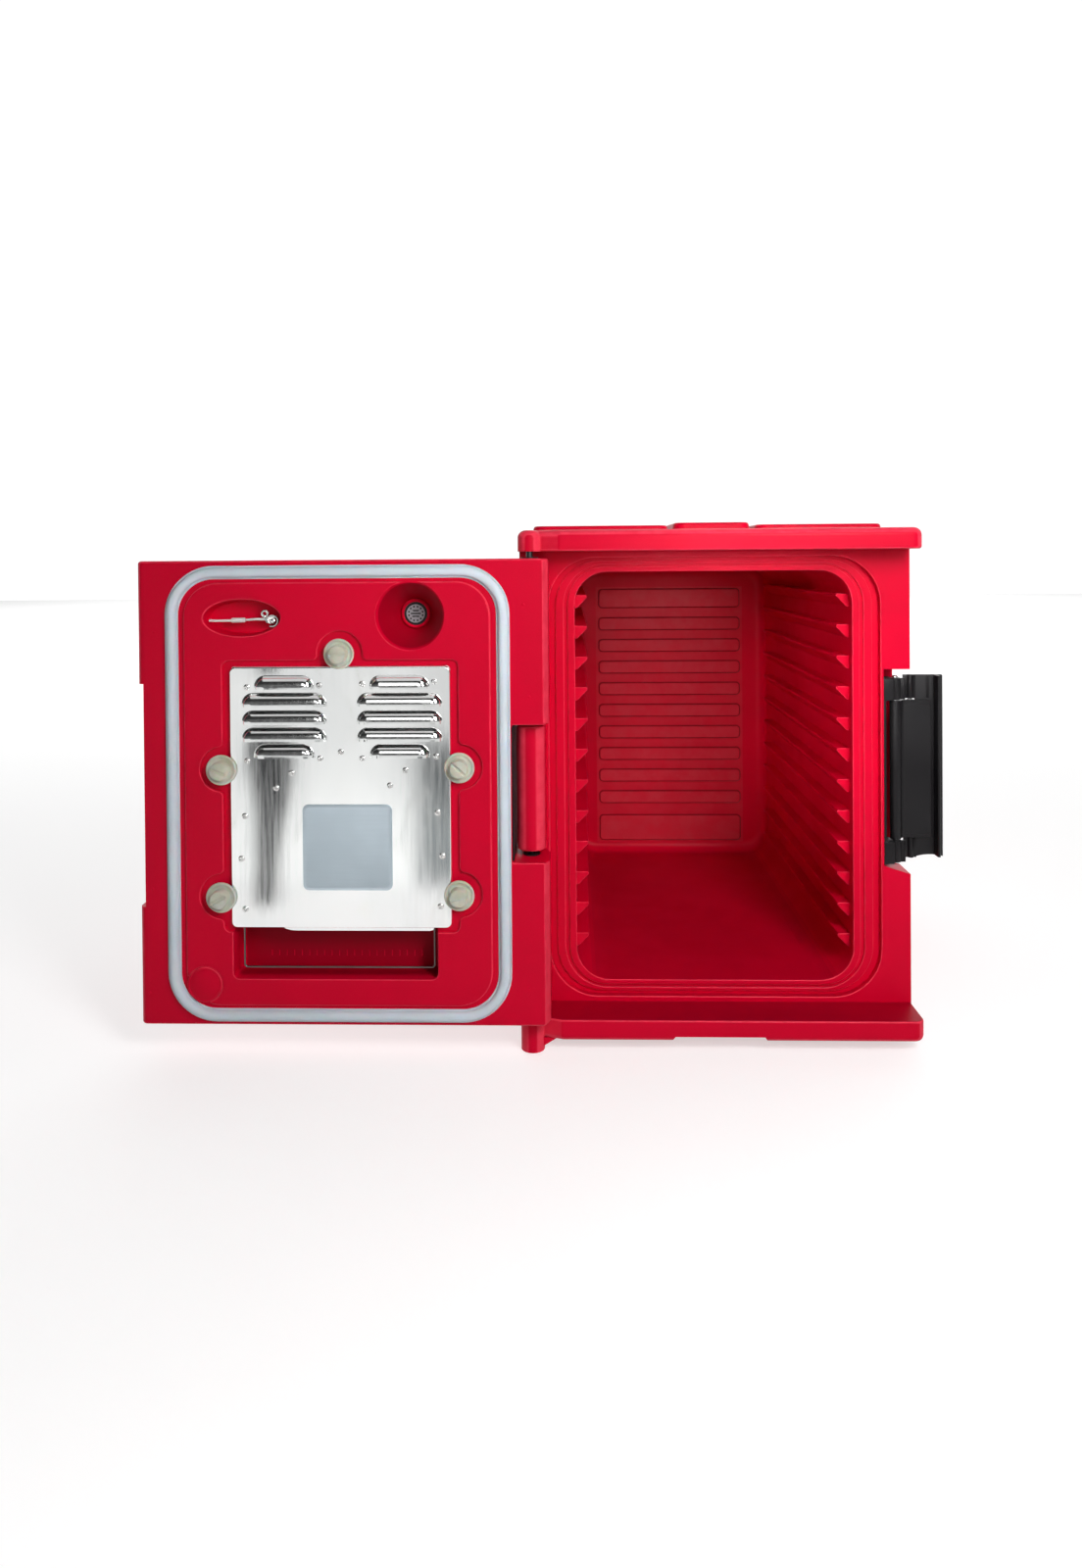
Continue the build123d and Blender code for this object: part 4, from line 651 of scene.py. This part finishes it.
def make_cover_screws():
    bm = bmesh.new()
    rng = random.Random(7)
    for x, z in COVER_SCREWS:
        turn = rng.uniform(0, math.pi / 2)

        def cross(r, y, a, turn=turn):
            # a cross recess: deep along two directions
            if r > 2.05 or r < 0.05:
                return r, y
            k = abs(math.cos(2 * (a - turn)))
            depth = 0.85 * max(0.0, min(1.0, (k - 0.35) / 0.25)) if r > 0.75 else 0.9
            return r, y + depth * min(1.0, (2.1 - r) / 0.35)

        prof = [(3.55, -79.95), (3.6, -80.35), (3.45, -80.8), (3.1, -81.25), (2.6, -81.55), (2.2, -81.66), (2.0, -81.68), (1.8, -81.7), (1.5, -81.7), (1.1, -81.72), (0.7, -81.72), (0.3, -81.72), (0.1, -81.72)]
        turned(bm, prof, (x, z), 32, cross)
    shown("cover_screw_heads", bm, MATS["steel_bright"], "door", 40, ("cover_screws",))


make_cover_screws()


# ------------------------------------------------------------------ bare label plate
def make_label():
    bm = bmesh.new()
    hw, hh = 51.5, 49.3
    cx, cz = (-481.8 - 378.8) / 2, (201.4 + 300) / 2
    rings = [[(cx + x, y, cz + z) for x, z in rounded_rect(hw - o, hh - o, 7 - o, 8)] for o, y in ((0, -80.0), (0, -80.45), (0.12, -80.56), (0.3, -80.6), (2.6, -80.6), (2.8, -80.66), (3.2, -80.66), (3.4, -80.6))]
    skin(bm, rings, cap_last=True)
    shown("label", bm, MATS["label_grey"], "door", 40, ("label_plate",))


make_label()

RED = MATS["red_plastic"]
VENT = (-357.0, 515.5)


# ------------------------------------------------------------------ vent: lip, dark seat, pierced disc
def make_vent():
    seat = bmesh.new()
    turned(seat, [(17.0, -30.1), (17.0, -31.4), (16.6, -31.8), (9.0, -31.8), (3.0, -31.8), (0.2, -31.8)], VENT, 48)
    shown("vent_seat", seat, MATS["black_nylon"], "door", 40, ("vent_insert",))
    lip = bmesh.new()
    turned(lip, [(17.6, -30.6), (17.2, -32.6), (16.5, -33.7), (15.5, -34.2), (14.5, -33.9), (13.9, -33.1), (13.7, -31.7)], VENT, 64)
    shown("vent_lip", lip, RED, "door", 50)
    disc = bmesh.new()
    rim = [(10.9 * math.cos(2 * math.pi * k / 64), 10.9 * math.sin(2 * math.pi * k / 64)) for k in range(64)]
    holes = []
    for k in range(12):
        a = 2 * math.pi * k / 12 + 0.26
        u, v = 8.4 * math.cos(a), 8.4 * math.sin(a)
        holes.append([(u + 1.15 * math.cos(2 * math.pi * j / 14), v + 1.15 * math.sin(2 * math.pi * j / 14)) for j in range(14)])
    for v, half in ((3.4, 3.6), (0.0, 5.4), (-3.4, 3.6)):
        pts = []
        for cx, a0 in ((half, -90), (-half, 90)):
            for j in range(9):
                a = math.radians(a0 + 180 * j / 8)
                pts.append((cx + 0.85 * math.cos(a), v + 0.85 * math.sin(a)))
        holes.append(pts)
    loops = [rim] + holes
    tris = tessellate_polygon([[Vector((p[0], p[1], 0)) for p in lp] for lp in loops])
    flat = [p for lp in loops for p in lp]
    for y, flip in ((-33.2, False), (-32.1, True)):
        vs = [disc.verts.new(Vector((VENT[0] + p[0], y, VENT[1] + p[1])) * MM) for p in flat]
        for t in tris:
            disc.faces.new([vs[i] for i in (reversed(t) if flip else t)])
    for lp in loops:
        skin(disc, [[(VENT[0] + p[0], y, VENT[1] + p[1]) for p in lp] for y in (-33.2, -32.1)])
    bmesh.ops.remove_doubles(disc, verts=disc.verts, dist=1e-7)
    # three legs that hold it off the seat
    for k in range(3):
        a = 2 * math.pi * k / 3 + 0.52
        tube(disc, [(VENT[0] + 5.2 * math.cos(a), -32.2, VENT[1] + 5.2 * math.sin(a)), (VENT[0] + 5.2 * math.cos(a), -31.6, VENT[1] + 5.2 * math.sin(a))], 1.3, 12)
    shown("vent_disc", disc, MATS["grey_plastic"], "door", 35)


make_vent()


# ------------------------------------------------------------------ temperature probe and its clamp
def make_probe():
    stem = bmesh.new()
    tube(stem, smooth_path([(-591.0, -70.0, 510.6), (-578, -70.2, 510.5), (-564, -70.2, 510.7), (-549, -70.0, 511.2), (-536, -69.8, 512.0),
                            (-528, -69.6, 511.9), (-521, -69.0, 512.8), (-516.5, -67.0, 514.0), (-514.8, -63.5, 514.6)], 6), 1.45, 16)
    shown("probe_rod", stem, MATS["white_plastic"], "door", 40, ("probe_stem",))
    sleeve = bmesh.new()
    prof = [(-565.2, 1.5), (-564.9, 2.3), (-564.4, 2.7), (-563.5, 2.85), (-557, 2.8), (-550.5, 2.85), (-549.6, 2.7), (-549.1, 2.3), (-548.8, 1.5)]
    skin(sleeve, [[(x, -70.15 + r * math.cos(2 * math.pi * k / 24), 510.9 + 0.02 * (x + 565) + r * math.sin(2 * math.pi * k / 24)) for k in range(24)] for x, r in prof])
    shown("probe_collar", sleeve, MATS["white_plastic"], "door", 40, ("probe_sleeve",))
    clamp = bmesh.new()
    # post that stands on the recess's floor
    turned(clamp, [(6.6, -57.9), (6.4, -60.2), (5.2, -61.0), (5.0, -66.2), (4.4, -67.0), (0.2, -67.2)], (-520.5, 511.0), 36)
    # band bent round the wire, its ends lapped under the post's washer
    band = []
    for k in range(25):
        a = math.radians(200 - 290 * k / 24)
        band.append((-517.5 + 6.4 * math.cos(a), 510.0 + 6.4 * math.sin(a)))
    band = [(-527.5, 517.2), (-525.8, 513.2)] + band + [(-520.5, 503.6)]
    rings = []
    for i, (x, z) in enumerate(band):
        p, q = Vector(band[max(0, i - 1)]), Vector(band[min(len(band) - 1, i + 1)])
        t = (q - p).normalized()
        nx, nz = -t.y, t.x
        rings.append([(x + nx * u, y, z + nz * u) for u, y in ((0.55, -66.6), (0.75, -67.0), (0.75, -71.3), (0.5, -71.7), (-0.5, -71.7), (-0.75, -71.3), (-0.75, -67.0), (-0.55, -66.6))])
    skin(clamp, rings, cap_first=True, cap_last=True)
    # eye with a hole, and its screw head
    turned(clamp, [(2.0, -68.8), (2.0, -70.0), (2.3, -70.5), (3.3, -70.7), (4.2, -70.5), (4.5, -69.9), (4.5, -68.9), (4.2, -68.4), (2.3, -68.4), (2.0, -68.8)], (-526.4, 518.6), 36)
    tube(clamp, smooth_path([(-526.6, -69.4, 514.6), (-525.2, -69.3, 512.2), (-522.6, -68.4, 510.4), (-520.5, -66.8, 509.8)], 5), 1.2, 12)
    turned(clamp, [(3.4, -67.0), (3.3, -68.4), (2.6, -69.3), (1.4, -69.7), (0.2, -69.75)], (-517.6, 509.8), 28)
    shown("probe_clamp", clamp, MATS["steel_bright"], "door", 40, ("probe_clip",))


make_probe()


# ------------------------------------------------------------------ domed plug and small moulding marks
def make_marks():
    plug = bmesh.new()
    turned(plug, [(20.45, -74.6), (20.4, -77.6), (20.2, -78.4), (19.7, -78.95), (19.0, -79.15), (18.3, -79.0), (17.7, -78.7), (17.2, -78.75), (15.5, -79.35),
                  (12.5, -80.05), (9.0, -80.55), (5.5, -80.85), (2.5, -80.95), (0.2, -80.97)], (-597.6, 91.5), 72)
    # red_door gives the plug's rim fillet the painted highlight
    shown("plug_dome", plug, MATS["red_door"], "door", 60, ("door_plug",))
    ribs = bmesh.new()
    for k in range(21):
        x = -530.5 + 8.95 * k
        outline = rounded_rect(0.5, 3.6, 0.45, 3)
        rings = [[(x + u * s, y, 113.9 + v * (1 - (1 - s) * 0.12)) for u, v in outline] for y, s in ((-39.7, 1.0), (-40.35, 1.0), (-40.6, 0.8), (-40.7, 0.4))]
        skin(ribs, rings, cap_last=True)
    shown("well_marks", ribs, RED, "door", 60)
    dots = bmesh.new()
    for x, y, z in ((-227.0, -74.9, 527.1), (-221.1, -74.9, 421.8), (-223.7, -74.9, 87.9), (-653.9, -74.9, 498.1), (-658.5, -74.9, 200.9), (-663.3, -74.9, 80.2)):
        turned(dots, [(2.1, y + 0.2), (1.9, y - 0.15), (1.5, y - 0.30), (1.1, y - 0.55), (0.6, y - 0.75), (0.15, y - 0.8)], (x, z), 20)
    shown("moulding_marks", dots, RED, "door", 60)


make_marks()


# ------------------------------------------------------------------ latch
BLACK = MATS["black_nylon"]
XA, YA, XC, YC = 221.5, 14.0, 243.0, 25.0


def arc(cx, cy, r, a0, a1, n):
    return [(cx + r * math.cos(math.radians(a0 + (a1 - a0) * k / n)), cy + r * math.sin(math.radians(a0 + (a1 - a0) * k / n))) for k in range(n + 1)]


def make_latch():
    mount = bmesh.new()
    bevelled_prism(mount, [(203.5, 2.2), (207.4, 2.2), (207.4, 61.8), (203.5, 61.8)], 207.2, 432.8, "z", 0.7)
    for lo in (206.6, 404.6):
        hi = lo + 26.8
        bevelled_prism(mount, [(203.6, 2.0), (216.2, 2.0), (217.2, 3.0), (217.4, 6.0), (217.4, 24.6), (216.6, 26.0), (203.6, 26.0)], lo, hi, "z", 0.8)
        bevelled_prism(mount, arc(XA, YA, 6.7, 0, 352.8, 49), lo + 0.2, hi - 0.2, "z", 0.6)
        # stop rib in front of the barrel
        bevelled_prism(mount, [(226.5, 10.7), (230.4, 10.7), (231.2, 10.1), (232.3, 10.4), (233.1, 11.5), (233.1, 12.6), (232.3, 13.7), (231.2, 13.9), (230.4, 13.3), (226.5, 13.3)], lo + 0.3, hi - 0.3, "z", 0.4, 2)
        # ribs between the block and the barrel
        for z in (lo + 6.0, lo + 13.4, lo + 20.8):
            bevelled_prism(mount, [(214.0, 20.4), (219.0, 20.2), (216.0, 25.0), (214.0, 25.6)], z - 1.1, z + 1.1, "z", 0.25, 2)
    shown("latch_bracket", mount, BLACK, "cabinet", 40, ("latch_mount",))

    link = bmesh.new()
    lo, hi = 234.6, 403.4
    web = arc(XA, YA, 6.4, 285, 75, 26) + [(XA + 4.6, 18.6), (XC - 4.6, 21.9), (XC - 3.9, 26.4), (XC - 1.4, 28.8), (XC + 1.6, 28.8), (XC + 3.9, 26.6), (XC + 4.3, 20.8), (266.0, 20.8),
                                             (266.9, 20.2), (267.2, 19.3), (267.0, 18.5), (266.2, 18.0), (XA + 11.5, 18.0), (XA + 8.6, 16.6), (XA + 6.6, 13.4), (XA + 5.0, 9.8)]
    bevelled_prism(link, web, lo, hi, "z", 0.55)
    # two shallow lines pressed along the panel's edges
    for z in (lo + 5.0, hi - 5.0):
        bevelled_prism(link, [(XA + 13.5, 17.75), (264.5, 17.75), (264.5, 18.3), (XA + 13.5, 18.3)], z - 0.6, z + 0.6, "z", 0.2, 2)
    shown("latch_panel", link, BLACK, "latch_link", 40, ("latch_link",))

    paddle = bmesh.new()

    def foot(x):
        # curved lower edge
        return max(208.7, 152.3 + math.sqrt(max(0.0, 60.0 ** 2 - (x - 266.0) ** 2)))

    xs = [249.0 + 0.84 * k for k in range(40)]
    outline = [(x, foot(x)) for x in xs] + [(282.3, foot(282.3) + 0.2), (282.4, 432.4), (281.4, 433.8), (279.5, 433.7), (249.0, 433.8)]
    bevelled_prism(paddle, outline, 23.5, 27.1, "y", 0.7)
    # rolled outer edge
    bevelled_prism(paddle, [(279.8, 23.6), (280.6, 23.42), (281.6, 23.42), (282.4, 24.1), (282.55, 25.3), (282.4, 26.5), (281.6, 27.15), (279.8, 27.1)], foot(281.5) + 0.3, 433.2, "z", 0.4, 2)
    # hooked lip
    lip = [(271.6, 23.8), (272.0, 13.6), (272.5, 12.0), (273.4, 11.35), (274.6, 11.35), (275.6, 12.2), (276.0, 13.8), (276.2, 23.8)]
    bevelled_prism(paddle, lip, foot(273.8) + 0.2, 433.6, "z", 0.45)
    # a rib along the outside, and grip lines
    bevelled_prism(paddle, [(262.6, 22.9), (264.0, 22.6), (265.4, 22.9), (265.8, 24.0), (262.2, 24.0)], 405.4, 433.0, "z", 0.3, 2)
    bevelled_prism(paddle, [(256.0, 26.7), (270.0, 26.7), (269.4, 28.2), (256.6, 28.2)], 250.0, 390.0, "z", 0.5)
    for lo_, hi_ in ((208.7, 233.4), (404.6, 433.9)):
        bevelled_prism(paddle, arc(XC, YC, 4.1, 20, 340, 24), lo_, hi_, "z", 0.35, 2)
        bevelled_prism(paddle, [(233.8, 23.5), (250.0, 23.5), (250.0, 27.1), (234.7, 27.1)], lo_ + 0.1, hi_ - 0.1, "z", 0.5, 2)
    shown("latch_flap", paddle, BLACK, "latch_paddle", 40, ("latch_paddle",))

    pins = bmesh.new()
    for z, s in ((205.9, -1), (432.1, 1)):
        rings = []
        for r, d in ((3.5, 0.0), (3.5, 0.8), (3.1, 1.5), (2.2, 1.95), (0.2, 2.1)):
            rings.append([(XA + r * math.cos(2 * math.pi * k / 24), YA + r * math.sin(2 * math.pi * k / 24), z + s * d) for k in range(24)])
        skin(pins, rings, cap_last=True)
    tube(pins, [(XA, YA, 205.0), (XA, YA, 433.0)], 2.45, 20)
    shown("pivot_pin", pins, MATS["steel_bright"], "cabinet", 40, ("latch_pin",))


make_latch()


# ------------------------------------------------------------------ outer face: dial ticks
def make_dial():
    bm = bmesh.new()
    cx, cz = -551.0, 514.0
    for k in range(55):
        a = math.radians(-135 + 5 * k + 90)
        long = k % 6 == 0
        r0, r1, w = (19.0 if long else 21.8), 24.6, (0.55 if long else 0.28)
        u = Vector((math.cos(a), 0, math.sin(a)))
        v = Vector((-math.sin(a), 0, math.cos(a)))
        c = Vector((cx, 0, cz))
        rings = []
        for y in (-13.15, -12.9):
            rings.append([tuple(c + u * r + v * s + Vector((0, y, 0))) for r, s in ((r0, -w), (r1, -w), (r1, w), (r0, w))])
        skin(bm, rings, cap_first=True, cap_last=True)
    shown("dial_ticks", bm, MATS["black_gloss"], "door", 30)


make_dial()

# the guard's wire is dull and dark
MATS["wire_dark"] = metal("wire_dark", (0.20, 0.17, 0.16), (0.12, 0.10, 0.10), 0.34, (1.0, 1.0, 1.0), 300.0, 0.0001, 0.5, 0.12)
NODES["wire_guard"].data.materials[0] = MATS["wire_dark"]


# ------------------------------------------------------------------ floor, light, world
def stage_plane(name, size, mat, matrix):
    bm = bmesh.new()
    bmesh.ops.create_grid(bm, x_segments=2, y_segments=2, size=size)
    me = bpy.data.meshes.new(name)
    bm.to_mesh(me)
    bm.free()
    o = bpy.data.objects.new(name, me)
    me.materials.append(mat)
    COLL.objects.link(o)
    o.matrix_world = matrix
    return o


def plain(name, colour, rough, glow=0.0):
    m = Tree(name)
    c = m.mix(m.ramp(m.noise(3.0, 2.0), 0.3, 0.7), colour, tuple(v * 0.985 for v in colour))
    return m.set(Base_Color=c, Roughness=rough, Specular_IOR_Level=0.1, Emission_Color=(1.0, 1.0, 1.0), Emission_Strength=glow)


# the floor that is seen, and a dimmer one just below it that lights the object
floor = stage_plane("floor", 14.0, plain("floor_pale", (0.60, 0.60, 0.60), 0.8, 0.56), Matrix.Identity(4))
floor.visible_diffuse = floor.visible_shadow = False
bounce = stage_plane("floor_bounce", 14.0, plain("floor_dim", (0.30, 0.30, 0.30), 0.8, 0.20), Matrix.Translation((0, 0, -0.002)))
bounce.visible_camera = bounce.visible_glossy = bounce.visible_transmission = False


def stage_card(name, corners, mat):
    """A flat card outside the frame, seen only in the bare steel's reflections."""
    bm = bmesh.new()
    bm.faces.new([bm.verts.new(Vector(c)) for c in corners])
    me = bpy.data.meshes.new(name)
    bm.to_mesh(me)
    bm.free()
    o = bpy.data.objects.new(name, me)
    me.materials.append(mat)
    COLL.objects.link(o)
    o.visible_camera = o.visible_diffuse = o.visible_shadow = False
    return o


dark_card = plain("card_dark", (0.035, 0.037, 0.04), 0.7)
stage_card("stand_card", [(x * MM, -0.60, z * MM) for x, z in (
    (-705, 1), (-700, 80), (-703, 175), (-714, 240), (-716, 262), (-712, 288), (-700, 300), (-650, 300), (-638, 288), (-634, 262), (-638, 240), (-648, 175), (-664, 80), (-672, 1))],
    dark_card)
stage_card("patch_card", [(x * MM, -0.60, z * MM) for x, z in ((-698, 392), (-694, 428), (-656, 428), (-660, 396), (-676, 388))], dark_card)
# painted shadow: a grey card on the floor, seen only in reflections, stands in for a shadow cast on the floor in front
stage_card("floor_shadow_card", [(x, y, 0.0015) for x, y in ((-0.445, -0.70), (-0.66, -2.1), (0.30, -2.1), (0.30, -0.70))], plain("card_grey", (0.30, 0.33, 0.34), 0.8))
stage_card("white_card", [(x, y, 0.001) for x, y in ((-0.46, -0.72), (-3.5, -0.72), (-3.5, -7.0), (-1.40, -7.0))], plain("card_white", (0.6, 0.61, 0.60), 0.8, 0.72))


stage_card("top_card", [(-1.3, -1.3, 1.7), (0.2, -1.3, 1.7), (0.2, 0.4, 1.7), (-1.3, 0.4, 1.7)], plain("card_top", (0.5, 0.5, 0.5), 0.8, 0.42))


# pale walls far off, seen only directly: a plain background from every side
wall_white = plain("wall_white", (0.6, 0.6, 0.6), 0.8, 1.0)
for wall, corners in (("wall_front", ((-13.9, -13.9), (13.9, -13.9))), ("wall_left", ((-13.9, -13.9), (-13.9, 8.0))), ("wall_right", ((13.9, -13.9), (13.9, 8.0)))):
    (x0, y0), (x1, y1) = corners
    far_wall = stage_card(wall, [(x0, y0, 0.0), (x1, y1, 0.0), (x1, y1, 13.0), (x0, y0, 13.0)], wall_white)
    far_wall.visible_camera = True
    far_wall.visible_glossy = far_wall.visible_transmission = False


def area(name, place, target, size, power, colour=(1, 1, 1)):
    lamp = bpy.data.lights.new(name, "AREA")
    lamp.shape = "RECTANGLE"
    lamp.size, lamp.size_y = size
    lamp.energy = power
    lamp.color = colour
    o = bpy.data.objects.new(name, lamp)
    COLL.objects.link(o)
    o.location = place
    o.rotation_euler = (Vector(target) - Vector(place)).to_track_quat("-Z", "Y").to_euler()
    return o


area("key_near", (0.45, -1.2, 0.75), (0.10, 0.0, 0.40), (0.40, 0.40), 3.5)
area("key_high", (0.30, -1.0, 0.98), (0.10, 0.0, 0.40), (0.40, 0.40), 11.0)
area("key_left", (-0.55, -1.35, 0.75), (0.10, 0.0, 0.40), (0.40, 0.40), 0.9)
area("key_front", (-0.25, -1.35, 0.62), (-0.1, 0.0, 0.35), (0.30, 0.30), 0.8)
area("back", (0.0, 8.5, 4.0), (0.0, 8.501, 0.0), (14.0, 12.0), 800)

def beam(name, place, target, power, width):
    """A narrow soft light that reaches into the cavity."""
    lamp = bpy.data.lights.new(name, "SPOT")
    lamp.energy = power
    lamp.spot_size = math.radians(width)
    lamp.spot_blend = 1.0
    lamp.shadow_soft_size = 0.09
    o = bpy.data.objects.new(name, lamp)
    COLL.objects.link(o)
    o.location = place
    o.rotation_euler = (Vector(target) - Vector(place)).to_track_quat("-Z", "Y").to_euler()


beam("inside_right", (-0.50, -1.20, 0.70), (0.205, 0.27, 0.34), 52, 17)
beam("inside_back", (0.05, -1.30, 0.62), (-0.02, 0.54, 0.485), 26, 12)

world = bpy.data.worlds.new("world")
world.use_nodes = True
wt = world.node_tree
bg = wt.nodes["Background"]
tc = wt.nodes.new("ShaderNodeTexCoord")
sep = wt.nodes.new("ShaderNodeSeparateXYZ")
wt.links.new(tc.outputs["Generated"], sep.inputs[0])


def lobe(axis, lo, hi, a, b):
    mr = wt.nodes.new("ShaderNodeMapRange")
    mr.interpolation_type = "SMOOTHSTEP"
    wt.links.new(sep.outputs[axis], mr.inputs["Value"])
    mr.inputs["From Min"].default_value = lo
    mr.inputs["From Max"].default_value = hi
    mr.inputs["To Min"].default_value = a
    mr.inputs["To Max"].default_value = b
    return mr.outputs["Result"]


def join(kind, a, b):
    n = wt.nodes.new("ShaderNodeMath")
    n.operation = kind
    wt.links.new(a, n.inputs[0])
    wt.links.new(b, n.inputs[1])
    return n.outputs[0]


# white behind the object, a low pale band in front, dark above
behind = join("MULTIPLY", lobe("Y", 0.10, 0.35, 0.0, 1.06), lobe("Z", 0.64, 0.53, 0.0, 1.0))
front = join("MULTIPLY", lobe("Y", 0.10, -0.20, 0.0, 1.0), lobe("Z", 0.30, 0.12, 0.03, 0.10))
wt.links.new(join("MAXIMUM", behind, front), bg.inputs["Color"])
bg.inputs["Strength"].default_value = 1.0
SCENE.world = world
SCENE.view_settings.view_transform = "Standard"
